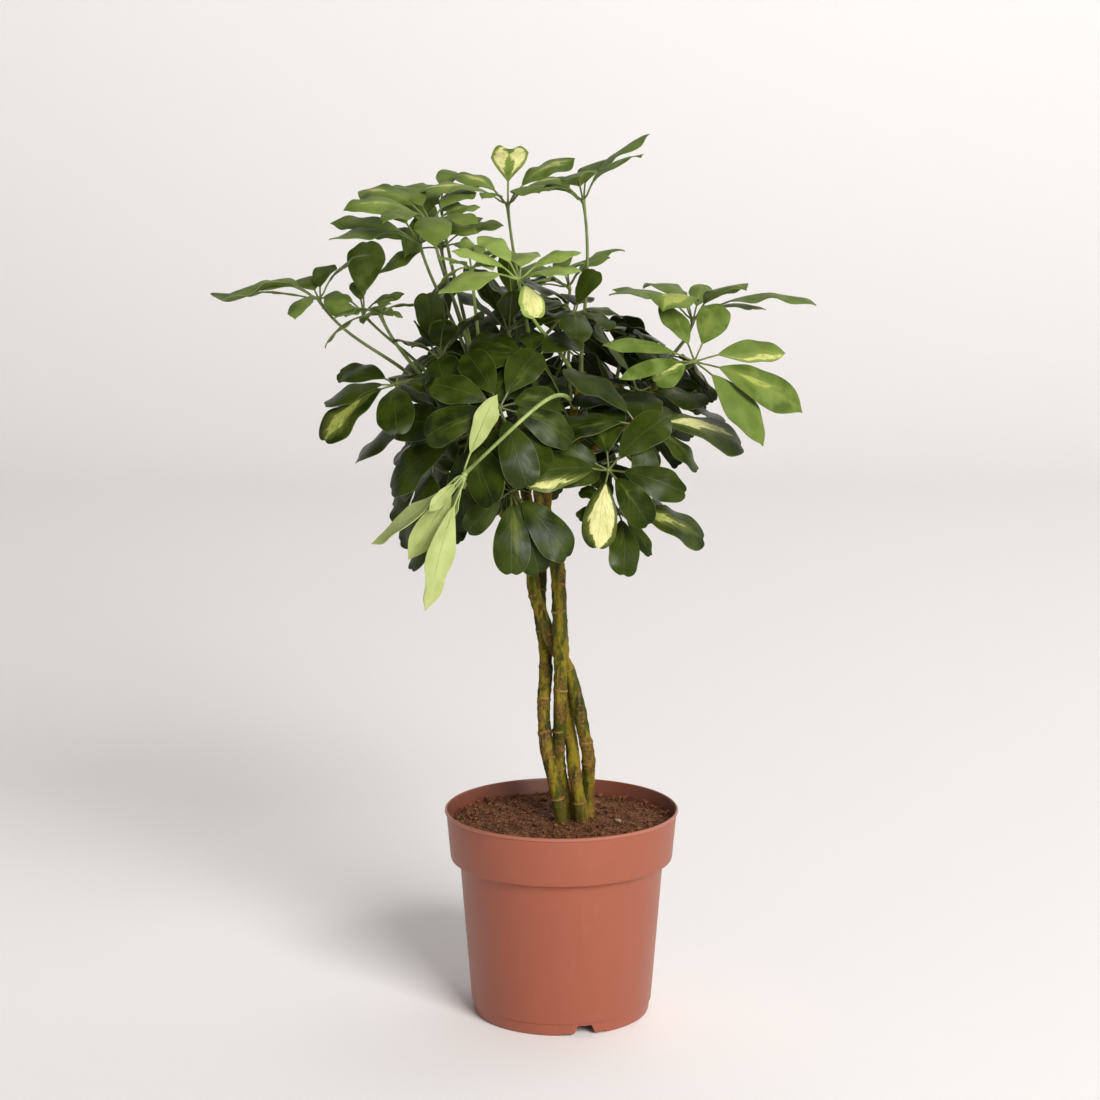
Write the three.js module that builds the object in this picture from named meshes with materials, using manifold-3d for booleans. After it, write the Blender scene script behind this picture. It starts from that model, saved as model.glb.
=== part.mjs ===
// A potted umbrella plant: a variegated dwarf schefflera trained on four braided woody stems,
// in a round plastic nursery pot filled with soil. Millimetres, +Z up. The origin is the centre
// of the pot's underside, on the surface that the pot stands on.
//
// Each compound leaf is one mesh: a petiole, a small hub and a whorl of leaflets. A leaflet that
// would meet something else is lifted, lowered or made smaller by the rule in clearFit until it is clear.

import * as THREE from "three";
import { mergeVertices } from "three/addons/utils/BufferGeometryUtils.js";
import Module from "manifold-3d";

const wasm = await Module();
wasm.setup();

// Pot
const POT_HEIGHT = 188;
const RIM_RADIUS = 105;
const POT_WALL = 2;
const RIM_FLARE = 0.7;
const RIM_FLARE_HEIGHT = 5;
const RIM_ROUND = 1;
const COLLAR_HEIGHT = 45;
const COLLAR_BASE_RADIUS = 100;
const COLLAR_ROUND = 2;
const LEDGE_HEIGHT = 3;
const BODY_TOP_RADIUS = 91.4;
const BODY_BASE_RADIUS = 81.5;
const FOOT_RADIUS = 78.5;
const FOOT_BAND_HEIGHT = 12;
const FOOT_BAND_ROUND = 0.8;
const FOOT_RING_WIDTH = 4;
const FLOOR_DRAFT = 2;
const FLOOR_RISE = 8;
const FLOOR_THICKNESS = 2;
const FLOOR_HUB_RADIUS = 24;
const POT_SIDES = 36;
const DRAIN_NOTCHES = 3;
const FIRST_NOTCH_DEG = -75;
const NOTCH_HEIGHT = 9.5;
const NOTCH_WIDTH = 22;
const NOTCH_TOP_WIDTH = 13;
const NOTCH_SLOT_WIDTH = 41;
const NOTCH_SLOT_HEIGHT = 2;
const NOTCH_REACH = 14;
const NOTCH_OVERSHOOT = 4;

// Soil
const SOIL_LEVEL = 174;
const SOIL_MOUND = 4;
const SOIL_ROUGHNESS = 1.6;
const SOIL_RINGS = 3;
const SOIL_WAVES = [[0.31, 0.17, 0], [-0.11, 0.27, 1.3]];

// Gap that neighbouring pieces keep
const GAP = 0.35;

// Woody stems and their side shoots
const STEM_SIDES = 8;
const STEM_STEPS = 23;
const SHOOT_SIDES = 6;
const SHOOT_STEPS = 4;
const STEM_RADIUS = 6.1;
const STEM_TIP_RADIUS = 3.2;
const SHOOT_RADIUS = 3.4;
const SHOOT_TIP_RADIUS = 2.3;
const NODE_SWELL = 0.04;
const NODE_PACE = 57;
const STEM_TAPER_START = 0.55;

// Each stem's line runs from its foot in the soil to its growing tip. Its side shoots leave it in the
// crown.
const STEMS = {
  stem_front_left: {
    line: [
      [2, -17, 130], [0, -16, 180], [-5, -15, 208], [-13, -12, 244], [-16, -5, 279], [-14, 6, 310],
      [-15, 14, 334], [-18, 16, 356], [-20, 15, 378], [-19, 15, 402], [-28, 22, 446], [-34, 32, 490],
      [-36, 40, 540], [-34, 40, 590],
    ],
    shoots: {
      back: [[-31, 28, 468], [-20, 58, 505], [-12, 80, 548]],
      back_left: [[-35, 34, 500], [-62, 54, 532], [-84, 62, 570]],
    },
  },
  stem_centre: {
    line: [
      [9, 5, 130], [8, 4, 176], [1, 2, 208], [-3, -1, 236], [-1.5, -8, 270], [-1, -12, 308],
      [-1, -13, 336], [-2, -13, 356], [-3, -12, 380], [-4, -12, 405], [-10, -14, 432], [-18, -20, 462],
      [-22, -30, 500], [-22, -36, 550], [-26, -32, 600],
    ],
    shoots: {
      front: [[-17, -20, 460], [-22, -45, 484], [-30, -70, 504]],
    },
  },
  stem_front_right: {
    line: [
      [20, -13, 130], [18, -12, 179], [14, -9, 207], [11.5, -4, 224], [10, 2, 237], [8, 9, 252],
      [4, 12, 278], [1, 16, 308], [1, 17, 324], [0, 16, 342], [-1, 12, 362], [-2, 8, 385],
      [-3, 7, 408], [-8, 7, 434], [-14, 6, 462], [-6, 2, 500], [10, -5, 545], [18, -8, 582],
    ],
    shoots: {
      right: [[-12, 5, 480], [30, 10, 514], [70, 8, 546], [90, 4, 582]],
      right_low: [[-12, 4, 482], [16, -12, 494], [42, -34, 502]],
      back_right: [[-6, 2, 500], [28, 34, 530], [54, 60, 564]],
    },
  },
  stem_right: {
    line: [
      [26, 9, 130], [24, 8, 190], [24, 5, 214], [24, -1, 236], [19.5, -1, 258], [14, 3, 285],
      [8, 3.5, 309], [0.5, 2, 324], [-7.5, 1, 337], [-14, -2, 355], [-23, -3, 382], [-27, -2, 407],
      [-36, -4, 450], [-50, -8, 500], [-68, -12, 550], [-80, -14, 598],
    ],
    shoots: {
      left: [[-43, -6, 478], [-80, -4, 514], [-112, -2, 556]],
      left_low: [[-35, -4, 444], [-62, -22, 468], [-88, -40, 490]],
    },
  },
};

// Ways a compound leaf carries its leaflets. stalk is the share of a leaflet's reach that is bare
// stalk, width the blade's half width over its length. Angles are in degrees.
const HABITS = {
  old: { stalk: 0.16, width: 0.29, rise: 18, droop: 46, fold: 13, notched: true },
  flat: { stalk: 0.16, width: 0.27, rise: 10, droop: 30, fold: 12, notched: true },
  upright: { stalk: 0.2, width: 0.27, rise: 64, droop: 30, fold: 16, notched: true },
  young: { stalk: 0.24, width: 0.26, rise: 52, droop: 62, fold: 17, notched: false },
  open: { stalk: 0.2, width: 0.23, rise: 22, droop: 36, fold: 15, notched: false },
  slender: { stalk: 0.22, width: 0.12, rise: 22, droop: 36, fold: 15, notched: false },
  broad: { stalk: 0.24, width: 0.36, rise: 52, droop: 48, fold: 14, notched: true },
  heart: { stalk: 0.34, width: 0.45, rise: 52, droop: 40, fold: 14, notched: true },
  fresh: { stalk: 0.22, width: 0.19, rise: 44, droop: 44, fold: 20, notched: false },
  hanging: { stalk: 0.24, width: 0.2, rise: 76, droop: 14, fold: 14, notched: false },
};

// One row for each compound leaf: its name, the stem or shoot that it grows from and how far along,
// its hub, the heading and height of the side that it turns up, the turn of its first leaflet, its
// habit, its number of leaflets and their reach. Angles are in degrees, heading 0 along +X. A last
// entry, where there is one, turns a leaflet, raises it, scales its reach and gives it a habit of
// its own, by its number.
const LEAVES = [
  ["leaf_top_heart", "stem_centre", 0.985, [-47, 0, 727], [-100, 78], 48, "young", 7, 72,
    { 0: [0, -3, 1.2], 1: [-2, 29, 0.78, "heart"], 2: [0, -4, 0.9], 3: [0, -6, 1.05], 4: [0, 12, 0.6],
      6: [0, 8, 0.9] }],
  ["leaf_top_mast", "stem_front_right", 0.99, [18, -15, 731], [-170, 74], -4, "young", 7, 80,
    { 2: [-18, 6, 1.1], 1: [-6, 9, 1], 3: [0, 6, 0.9], 4: [0, 6, 0.9], 5: [0, 24, 0.5], 6: [0, 36, 0.6] }],
  ["leaf_crest_front", "stem_right", 0.99, [-111, -50, 713], [-100, 70], -70, "young", 8, 82,
    { 1: [0, -10, 0.62], 2: [0, -6, 0.5], 3: [0, -10, 0.85], 4: [14, -6, 1], 5: [0, -3, 1],
      6: [0, -2, 1], 7: [0, 4, 0.8] }],
  ["leaf_crest_left", "stem_right", 0.965, [-123, -12, 694], [-120, 70], -28, "young", 8, 84,
    { 0: [0, 0, 0.7], 1: [0, -14, 0.7], 2: [0, -10, 0.65], 5: [0, 10, 0.95], 6: [0, 0, 1.14],
      7: [-42, -38, 0.72] }],
  ["leaf_crest_back", "stem_right", 0.975, [-106, 24, 728], [-100, 76], 190, "young", 7, 56,
    { 3: [0, 0, 0.7], 4: [0, 0, 0.8], 5: [0, -6, 1] }],
  ["leaf_crest_right", "stem_right", 0.95, [-106, 30, 688], [-100, 70], 125, "young", 7, 64,
    { 2: [-8, 12, 1], 3: [0, 16, 0.5], 4: [0, 0, 0.8], 5: [0, -6, 1], 6: [0, -8, 1] }],
  ["leaf_far_left", "left", 0.98, [-211, -10, 646], [176, 70], 96, "young", 8, 98,
    { 0: [0, 4, 0.62, "broad"], 1: [14, 8, 0.46, "broad"], 2: [10, 10, 0.46, "broad"], 3: [0, 8, 0.9],
      4: [0, 25, 0.98, "flat"], 5: [0, 4, 1], 6: [-24, -30, 0.6], 7: [-14, -54, 0.4, "broad"] }],
  ["leaf_far_left_standing", "left", 0.93, [-175, 26, 632], [-100, 70], 60, "young", 7, 42,
    { 0: [24, 26, 1.6, "broad"] }],
  ["leaf_far_left_back", "left", 0.88, [-156, -36, 635], [170, 74], 22, "young", 7, 56,
    { 0: [0, -14, 0.7], 1: [-10, -34, 0.4], 2: [0, -26, 0.58], 3: [0, -6, 0.7], 4: [0, -18, 0.6],
      5: [22, -36, 1.05], 6: [0, -12, 0.9] }],
  ["leaf_fresh_left", "stem_right", 0.93, [-77, -60, 676], [-110, 78], 12, "fresh", 7, 46,
    { 0: [0, 0, 0.8], 1: [0, 0, 0.8], 3: [0, -14, 0.85], 4: [0, 4, 0.7] }],
  ["leaf_fresh_front", "stem_front_right", 0.975, [-36, -92, 669], [-80, 70], 30, "fresh", 8, 62,
    { 1: [0, -30, 0.95, "broad"], 2: [0, -12, 0.95, "young"], 4: [-6, -20, 1.35, "young"],
      5: [30, -44, 0.66, "broad"], 7: [0, -6, 0.9] }],
  ["leaf_crown_back", "stem_front_left", 0.985, [6, 40, 653], [196, 64], 0, "young", 7, 68,
    { 1: [0, -8, 0.8], 2: [0, -8, 0.96], 3: [0, -4, 0.9] }],
  ["leaf_right_high", "right", 0.98, [116, 30, 624], [-20, 84], 6, "young", 8, 108,
    { 0: [0, 4, 0.6], 1: [0, 0, 0.8], 2: [-10, 1, 0.75], 3: [0, -8, 0.94], 5: [0, 9, 0.8], 6: [0, -5, 1],
      7: [-20, 0, 0.64] }],
  ["leaf_right_open", "right", 0.92, [113, -62, 597], [-68, 40], 8, "open", 8, 94,
    { 0: [-3, -18, 0.84, "fresh"], 1: [9, 0, 0.84], 2: [-1, 0, 0.76], 3: [24, 4, 0.84, "slender"],
      4: [0, 0, 0.86, "slender"], 5: [-30, -30, 0.5, "broad"], 6: [26, 0, 0.92], 7: [-1, 0, 1.07] }],
  ["leaf_front_hanging", "stem_front_right", 0.95, [-81, -150, 512], [164, -52], 13, "hanging", 7, 96,
    { 0: [0, 0, 0.4], 2: [20, -134, 0.74], 3: [0, -30, 0.4], 4: [0, 0, 0.5], 5: [31, 0, 1.08],
      6: [8, 0, 0.85] }],
  ["leaf_front_left_wide", "left_low", 0.97, [-78, -100, 540], [-125, 34], 40, "old", 8, 78],
  ["leaf_front_fan", "front", 0.97, [-52, -126, 565], [-88, 30], 20, "old", 8, 64],
  ["leaf_front_low", "front", 0.85, [-43, -118, 494], [-86, 26], 24, "old", 8, 76,
    { 4: [10, 0, 0.62], 5: [20, 0, 0.94], 6: [0, 0, 0.89], 7: [-31, 0, 0.96] }],
  ["leaf_right_low", "right_low", 0.97, [48, -92, 472], [-50, 50], -4, "old", 8, 74,
    { 3: [0, 10, 0.5], 4: [0, 0, 0.6], 5: [26, 0, 0.8], 6: [14, 0, 0.58], 7: [24, 0, 1.18] }],
  ["leaf_front_right_hang", "right_low", 0.75, [39, -108, 510], [-100, 34], 0, "old", 7, 74,
    { 0: [-14, 0, 0.88], 3: [8, 0, 0.8], 4: [-8, 0, 1], 5: [14, 0, 0.85], 6: [0, 0, 0.82] }],
  ["leaf_right_tier", "right", 0.66, [66, -84, 544], [-60, 66], -10, "old", 8, 88,
    { 0: [-6, -3, 1.12], 1: [-16, 8, 0.9], 6: [0, 0, 0.6], 7: [0, 4, 0.66] }],
  ["leaf_left_tier", "left", 0.8, [-142, -48, 576], [-120, 62], 0, "old", 8, 80,
    { 0: [0, 0, 0.7], 1: [-16, 0, 0.9], 3: [-14, 12, 0.56], 4: [-10, 18, 0.74], 5: [-2, 8, 0.82],
      6: [-21, 6, 0.98], 7: [-18, 0, 0.9] }],
  ["leaf_left_upright", "stem_right", 0.9, [-106, -36, 598], [-140, 84], 20, "upright", 7, 62,
    { 3: [-16, 8, 0.9], 4: [-8, 12, 0.66], 5: [0, -14, 0.8] }],
  ["leaf_front_high", "stem_centre", 0.93, [-25, -90, 600], [-82, 54], 0, "old", 8, 66],
  ["leaf_right_upright", "stem_front_right", 0.94, [10, -30, 636], [-60, 76], 14, "old", 8, 62,
    { 0: [4, 7, 0.74], 6: [10, 4, 0.62], 7: [16, 14, 0.66] }],
  ["leaf_crown_dark", "stem_centre", 0.97, [-46, -22, 620], [-95, 78], 24, "upright", 7, 66,
    { 2: [0, -6, 0.94], 3: [0, 0, 0.84], 4: [0, 0, 0.96] }],
  ["leaf_front_left_shield", "stem_right", 0.87, [-85, -84, 573], [-128, 50], 25, "old", 8, 74],
  ["leaf_right_shelf", "right", 0.8, [69, 0, 564], [-70, 76], 30, "flat", 8, 78,
    { 6: [0, 0, 0.9], 7: [0, -6, 0.95] }],
  ["leaf_left_low", "left_low", 0.88, [-118, -46, 508], [-156, 34], 20, "old", 7, 66,
    { 4: [0, 0, 0.8], 5: [0, 0, 0.85] }],
  ["leaf_left_under", "left_low", 0.72, [-96, -66, 482], [-140, 30], 5, "old", 7, 70,
    { 6: [0, 0, 0.6] }],
  ["leaf_left_shelf", "left", 0.68, [-116, -76, 547], [-142, 42], 30, "flat", 8, 78,
    { 5: [0, 0, 0.8] }],
  ["leaf_right_side", "right_low", 0.6, [56, 20, 506], [4, 40], 12, "flat", 7, 58],
  ["leaf_back_right_high", "right", 0.88, [96, 58, 590], [28, 42], 16, "old", 8, 74,
    { 1: [0, -8, 0.7], 2: [0, -8, 0.7], 4: [0, 0, 0.8], 5: [0, 0, 0.75], 6: [0, 0, 0.85] }],
  ["leaf_back_right", "back_right", 0.97, [62, 96, 562], [58, 30], 4, "old", 8, 76],
  ["leaf_back_high", "back", 0.98, [4, 112, 592], [88, 40], 20, "old", 8, 76],
  ["leaf_back_left", "back", 0.9, [-56, 104, 570], [116, 28], 10, "old", 8, 76],
  ["leaf_back_left_high", "back_left", 0.98, [-106, 66, 592], [148, 42], 26, "old", 8, 74],
  ["leaf_back_left_tier", "back_left", 0.88, [-126, 48, 540], [166, 14], 6, "old", 7, 60],
  ["leaf_back_right_low", "back_right", 0.7, [68, 72, 536], [42, 24], 22, "old", 7, 60],
  ["leaf_back_low", "back_right", 0.5, [26, 104, 540], [76, 20], 12, "old", 7, 70],
  ["leaf_back_left_low", "back", 0.66, [-34, 106, 540], [100, 16], 2, "old", 7, 70],
  ["leaf_back_left_under", "back_left", 0.62, [-96, 76, 520], [140, 20], 18, "old", 7, 66],
  ["leaf_crown_back_right", "back_right", 0.86, [58, 56, 608], [44, 74], 9, "old", 7, 54],
  ["leaf_crown_back_left", "stem_front_left", 0.95, [-44, 62, 634], [112, 66], 21, "upright", 7, 56],
  ["leaf_back_under", "back", 0.4, [-46, 62, 500], [110, 6], 14, "old", 7, 54],
];

// Compound leaf
const PETIOLE_SIDES = 4;
const PETIOLE_STEPS = 4;
const PETIOLE_BASE_RADIUS = 2;
const PETIOLE_TIP_RADIUS = 1.3;
const PETIOLE_PULL = 0.36;
const PETIOLE_SWEEP = 0.55;
const PETIOLE_LIFT = 0.5;
const HUB_RADIUS = 3;
const HUB_HEIGHT = 2.4;
const HUB_CROWN = 1;
const HUB_NECK = 2;
const STALK_HALF_WIDTH = 0.9;
const STALK_HALF_DEPTH = 0.81;
const RIB_THICKNESS = 1.6;
const BLADE_SAG = 0.07;
const BLADE_SECTIONS = {
  notched: [[0.36, 0.78], [0.76, 1], [1, 0.42]],
  pointed: [[0.34, 0.84], [0.68, 0.96]],
};
const NOTCH_DEPTH = 0.05;
const REACH_SPREAD = 0.14;
const TURN_SPREAD_DEG = 12;
const RISE_SPREAD_DEG = 12;
const DROOP_SPREAD_DEG = 16;
const TWIST_SPREAD_DEG = 26;

// Lifts in degrees that a leaflet tries, at each of its sizes in turn, and shifts in mm that a
// petiole's bow tries, until it is clear.
const LIFTS = [0, -10, 10, -20, 20, -30, 30, -42, 42, -54, 54];
const SIZES = [1, 0.72];
const BOWS = [
  [0, 0], [8, 0], [-8, 0], [0, 8], [0, -8], [14, 8], [-14, 8], [14, -8], [-14, -8], [22, 0], [-22, 0],
];

// How far a long petiole's two inner knots are pushed to arch it, in mm along x, y and z. Such a
// petiole has twice the rings.
const ARCHES = {
  leaf_front_hanging: [18, -120, 28],
};

const COLOURS = {
  pot: { color: 0xb5654b, roughness: 0.5 },
  soil: { color: 0x4a2f22, roughness: 0.95 },
  stem: { color: 0x6f6a35, roughness: 0.75 },
  old: { color: 0x2f4a22, roughness: 0.4 },
  flat: { color: 0x34502a, roughness: 0.4 },
  upright: { color: 0x31492a, roughness: 0.4 },
  young: { color: 0x55803f, roughness: 0.45 },
  open: { color: 0x55803f, roughness: 0.45 },
  fresh: { color: 0x7da645, roughness: 0.5 },
  hanging: { color: 0x8fae57, roughness: 0.5 },
};

const degrees = THREE.MathUtils.degToRad;

// A number from -0.5 to 0.5 that differs evenly from leaf to leaf and from leaflet to leaflet.
function spread(leafNumber, leafletNumber, kind) {
  const value = 0.618034 * leafletNumber + 0.754878 * leafNumber + 0.569840 * kind;
  return value - Math.floor(value) - 0.5;
}

// Closed surfaces built ring by ring, with every face pointing out.
class Shell {
  constructor() {
    this.points = [];
    this.faces = [];
  }

  ring(points) {
    return points.map((p) => this.points.push(p.x, p.y, p.z) / 3 - 1);
  }

  // A band between two rings of the same count. Its quads are split from the even corners to the odd ones.
  band(low, high) {
    const count = low.length;
    for (let k = 0; k < count; k++) {
      const [a, b] = [low[k], low[(k + 1) % count]];
      const [d, c] = [high[k], high[(k + 1) % count]];
      if (k % 2 === 0) this.faces.push(a, b, c, a, c, d);
      else this.faces.push(a, b, d, b, c, d);
    }
  }

  // A band between two rings of different counts that start at the same angle.
  stitch(low, high) {
    let [i, j] = [0, 0];
    while (i < low.length || j < high.length) {
      const lowNext = (i + 1) / low.length;
      const highNext = (j + 1) / high.length;
      const [a, d] = [low[i % low.length], high[j % high.length]];
      if (j === high.length || (i < low.length && lowNext <= highNext)) {
        this.faces.push(a, low[(i + 1) % low.length], d);
        i += 1;
      } else {
        this.faces.push(a, high[(j + 1) % high.length], d);
        j += 1;
      }
    }
  }

  cone(ring, tip) {
    const [point] = this.ring([tip]);
    ring.forEach((a, k) => this.faces.push(a, ring[(k + 1) % ring.length], point));
  }

  cap(ring) {
    for (let k = 1; k < ring.length - 1; k++) this.faces.push(ring[0], ring[k], ring[k + 1]);
  }

  solid() {
    const mesh = new wasm.Mesh({
      numProp: 3,
      vertProperties: new Float32Array(this.points),
      triVerts: new Uint32Array(this.faces),
    });
    return new wasm.Manifold(mesh);
  }
}

function solidOf(geometry) {
  const bare = geometry.index ? geometry.toNonIndexed() : geometry.clone();
  bare.deleteAttribute("normal");
  bare.deleteAttribute("uv");
  const merged = mergeVertices(bare, 1e-3);
  const mesh = new wasm.Mesh({
    numProp: 3,
    vertProperties: new Float32Array(merged.attributes.position.array),
    triVerts: new Uint32Array(merged.index.array),
  });
  return new wasm.Manifold(mesh);
}

function geometryOf(solid) {
  const mesh = solid.getMesh();
  const geometry = new THREE.BufferGeometry();
  geometry.setAttribute("position", new THREE.BufferAttribute(new Float32Array(mesh.vertProperties), 3));
  geometry.setIndex(new THREE.BufferAttribute(new Uint32Array(mesh.triVerts), 1));
  geometry.computeVertexNormals();
  return geometry;
}

function largestPiece(solid) {
  return solid.decompose().sort((a, b) => b.volume() - a.volume())[0];
}

function lathe(profile, sides) {
  const turned = new THREE.LatheGeometry(profile.map(([r, z]) => new THREE.Vector2(r, z)), sides);
  turned.rotateX(Math.PI / 2);
  return turned;
}

// A tube of the given radii along a curve, with its rings carried along without twist.
function tubeSolid(curve, radiusAt, sides, steps) {
  const frames = curve.computeFrenetFrames(steps, false);
  const shell = new Shell();
  let last = null;
  for (let i = 0; i <= steps; i++) {
    const centre = curve.getPointAt(i / steps);
    const radius = radiusAt(i / steps);
    const points = [];
    for (let k = 0; k < sides; k++) {
      const angle = (2 * Math.PI * k) / sides;
      const side = frames.normals[i].clone().multiplyScalar(Math.cos(angle) * radius);
      side.addScaledVector(frames.binormals[i], Math.sin(angle) * radius);
      points.push(centre.clone().add(side));
    }
    const ring = shell.ring(points);
    if (last) shell.band(last, ring);
    else shell.cap([...ring].reverse());
    last = ring;
  }
  shell.cap(last);
  return shell.solid();
}

function lineOf(points) {
  return new THREE.CatmullRomCurve3(points.map((p) => new THREE.Vector3(...p)), false, "catmullrom", 0.5);
}

// Pot: foot, body, ledge and collar outside, the wall's thickness inside, and a raised floor.
function makePot() {
  const wall = POT_WALL;
  const collarBase = POT_HEIGHT - COLLAR_HEIGHT;
  const ledgeBase = collarBase - LEDGE_HEIGHT;
  const floorTop = FLOOR_RISE + FLOOR_THICKNESS;
  const bodySlope = (BODY_TOP_RADIUS - BODY_BASE_RADIUS) / (ledgeBase - FOOT_BAND_HEIGHT);
  const innerBase = BODY_BASE_RADIUS - wall - bodySlope * (FOOT_BAND_HEIGHT - floorTop);
  const profile = [
    [0, 0],
    [FLOOR_HUB_RADIUS, 0],
    [FLOOR_HUB_RADIUS + FLOOR_DRAFT, FLOOR_RISE],
    [FOOT_RADIUS - FOOT_RING_WIDTH - FLOOR_DRAFT, FLOOR_RISE],
    [FOOT_RADIUS - FOOT_RING_WIDTH, 0],
    [FOOT_RADIUS, 0],
    [BODY_BASE_RADIUS - FOOT_BAND_ROUND, FOOT_BAND_HEIGHT - FOOT_BAND_ROUND],
    [BODY_BASE_RADIUS, FOOT_BAND_HEIGHT],
    [BODY_TOP_RADIUS, ledgeBase],
    [COLLAR_BASE_RADIUS - COLLAR_ROUND, collarBase],
    [COLLAR_BASE_RADIUS, collarBase + COLLAR_ROUND],
    [RIM_RADIUS - RIM_FLARE, POT_HEIGHT - RIM_FLARE_HEIGHT],
    [RIM_RADIUS, POT_HEIGHT - RIM_ROUND],
    [RIM_RADIUS - wall, POT_HEIGHT],
    [COLLAR_BASE_RADIUS - wall, collarBase + COLLAR_ROUND + wall / 2],
    [BODY_TOP_RADIUS - wall, ledgeBase + wall / 2],
    [innerBase, floorTop],
    [0, floorTop],
  ];
  let pot = solidOf(lathe(profile, POT_SIDES));
  for (let i = 0; i < DRAIN_NOTCHES; i++) {
    const turn = degrees(FIRST_NOTCH_DEG + (360 * i) / DRAIN_NOTCHES);
    pot = pot.subtract(notchCutter(turn));
  }
  return geometryOf(pot);
}

// The cut through the foot where water drains: a low slot with a taller gap in its middle.
function notchCutter(turn) {
  const outline = new THREE.Shape();
  outline.moveTo(-NOTCH_SLOT_WIDTH / 2, -1);
  outline.lineTo(NOTCH_SLOT_WIDTH / 2, -1);
  outline.lineTo(NOTCH_SLOT_WIDTH / 2, NOTCH_SLOT_HEIGHT);
  outline.lineTo(NOTCH_WIDTH / 2, NOTCH_SLOT_HEIGHT);
  outline.lineTo(NOTCH_TOP_WIDTH / 2, NOTCH_HEIGHT);
  outline.lineTo(-NOTCH_TOP_WIDTH / 2, NOTCH_HEIGHT);
  outline.lineTo(-NOTCH_WIDTH / 2, NOTCH_SLOT_HEIGHT);
  outline.lineTo(-NOTCH_SLOT_WIDTH / 2, NOTCH_SLOT_HEIGHT);
  const cut = new THREE.ExtrudeGeometry(outline, { depth: NOTCH_REACH, bevelEnabled: false });
  cut.rotateX(Math.PI / 2);
  cut.translate(0, NOTCH_REACH - NOTCH_OVERSHOOT - FOOT_RADIUS, 0);
  cut.rotateZ(turn + Math.PI / 2);
  return solidOf(cut);
}

// Soil fills the pot from its floor to a low rough mound, and holds a plain hole for each stem's foot.
function makeSoil(stems) {
  const collarBase = POT_HEIGHT - COLLAR_HEIGHT;
  const ledgeBase = collarBase - LEDGE_HEIGHT;
  const floorTop = FLOOR_RISE + FLOOR_THICKNESS + GAP;
  const inset = POT_WALL + 2 * GAP;
  const bodySlope = (BODY_TOP_RADIUS - BODY_BASE_RADIUS) / (ledgeBase - FOOT_BAND_HEIGHT);
  const collarSlope = (RIM_RADIUS - COLLAR_BASE_RADIUS) / COLLAR_HEIGHT;
  const topRadius = COLLAR_BASE_RADIUS + collarSlope * (SOIL_LEVEL - collarBase) - inset;
  const profile = [
    [0, floorTop],
    [BODY_BASE_RADIUS - inset - bodySlope * (FOOT_BAND_HEIGHT - floorTop), floorTop],
    [BODY_TOP_RADIUS - inset, ledgeBase + POT_WALL / 2],
    [COLLAR_BASE_RADIUS - inset, collarBase + COLLAR_ROUND + POT_WALL],
  ];
  for (let i = 0; i <= SOIL_RINGS; i++) {
    const share = 1 - i / SOIL_RINGS;
    profile.push([topRadius * share, SOIL_LEVEL + SOIL_MOUND * (1 - share * share)]);
  }
  const ground = lathe(profile, POT_SIDES);
  const position = ground.attributes.position;
  for (let i = 0; i < position.count; i++) {
    const [x, y, z] = [position.getX(i), position.getY(i), position.getZ(i)];
    if (z < SOIL_LEVEL - 1) continue;
    const lumps = SOIL_WAVES.map(([alongX, alongY, start]) => Math.sin(x * alongX + y * alongY + start));
    position.setZ(i, z + SOIL_ROUGHNESS * (lumps[0] + lumps[1]));
  }
  let soil = solidOf(ground);
  for (const stem of stems) soil = soil.subtract(stem.clearance);
  return geometryOf(largestPiece(soil));
}

// Woody stems, each with its side shoots fused on, and a slightly thicker copy that cuts their clearance.
function makeStem(plan, extra) {
  const thinning = (t) => Math.max(0, t - STEM_TAPER_START) / (1 - STEM_TAPER_START);
  const taper = (t) => THREE.MathUtils.lerp(STEM_RADIUS, STEM_TIP_RADIUS, thinning(t));
  const swell = (t) => 1 + NODE_SWELL * Math.sin(t * NODE_PACE);
  let stem = tubeSolid(lineOf(plan.line), (t) => taper(t) * swell(t) + extra, STEM_SIDES, STEM_STEPS);
  for (const shoot of Object.values(plan.shoots)) {
    const narrow = (t) => THREE.MathUtils.lerp(SHOOT_RADIUS, SHOOT_TIP_RADIUS, t) + extra;
    stem = stem.add(tubeSolid(lineOf(shoot), narrow, SHOOT_SIDES, SHOOT_STEPS));
  }
  return stem;
}

// The measures of a compound leaf that its petiole and leaflets share.
function leafPlan(row, number) {
  const [name, from, along, hub, [heading, height], turn, habitName, leaflets, reach, special = {}] = row;
  const up = new THREE.Vector3(
    Math.cos(degrees(heading)) * Math.cos(degrees(height)),
    Math.sin(degrees(heading)) * Math.cos(degrees(height)),
    Math.sin(degrees(height)),
  );
  const across = new THREE.Vector3(-Math.sin(degrees(heading)), Math.cos(degrees(heading)), 0);
  const away = new THREE.Vector3().crossVectors(up, across);
  return {
    name, number, from, up, across, away, turn, leaflets, reach, special,
    root: axisOf(from).getPoint(along),
    hub: new THREE.Vector3(...hub),
    habit: HABITS[habitName],
    habitName,
  };
}

function axisOf(name) {
  if (STEMS[name]) return lineOf(STEMS[name].line);
  const owner = Object.values(STEMS).find((stem) => stem.shoots[name]);
  return lineOf(owner.shoots[name]);
}

function ownerOf(name) {
  return Object.keys(STEMS).find((stem) => stem === name || STEMS[stem].shoots[name]);
}

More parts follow.
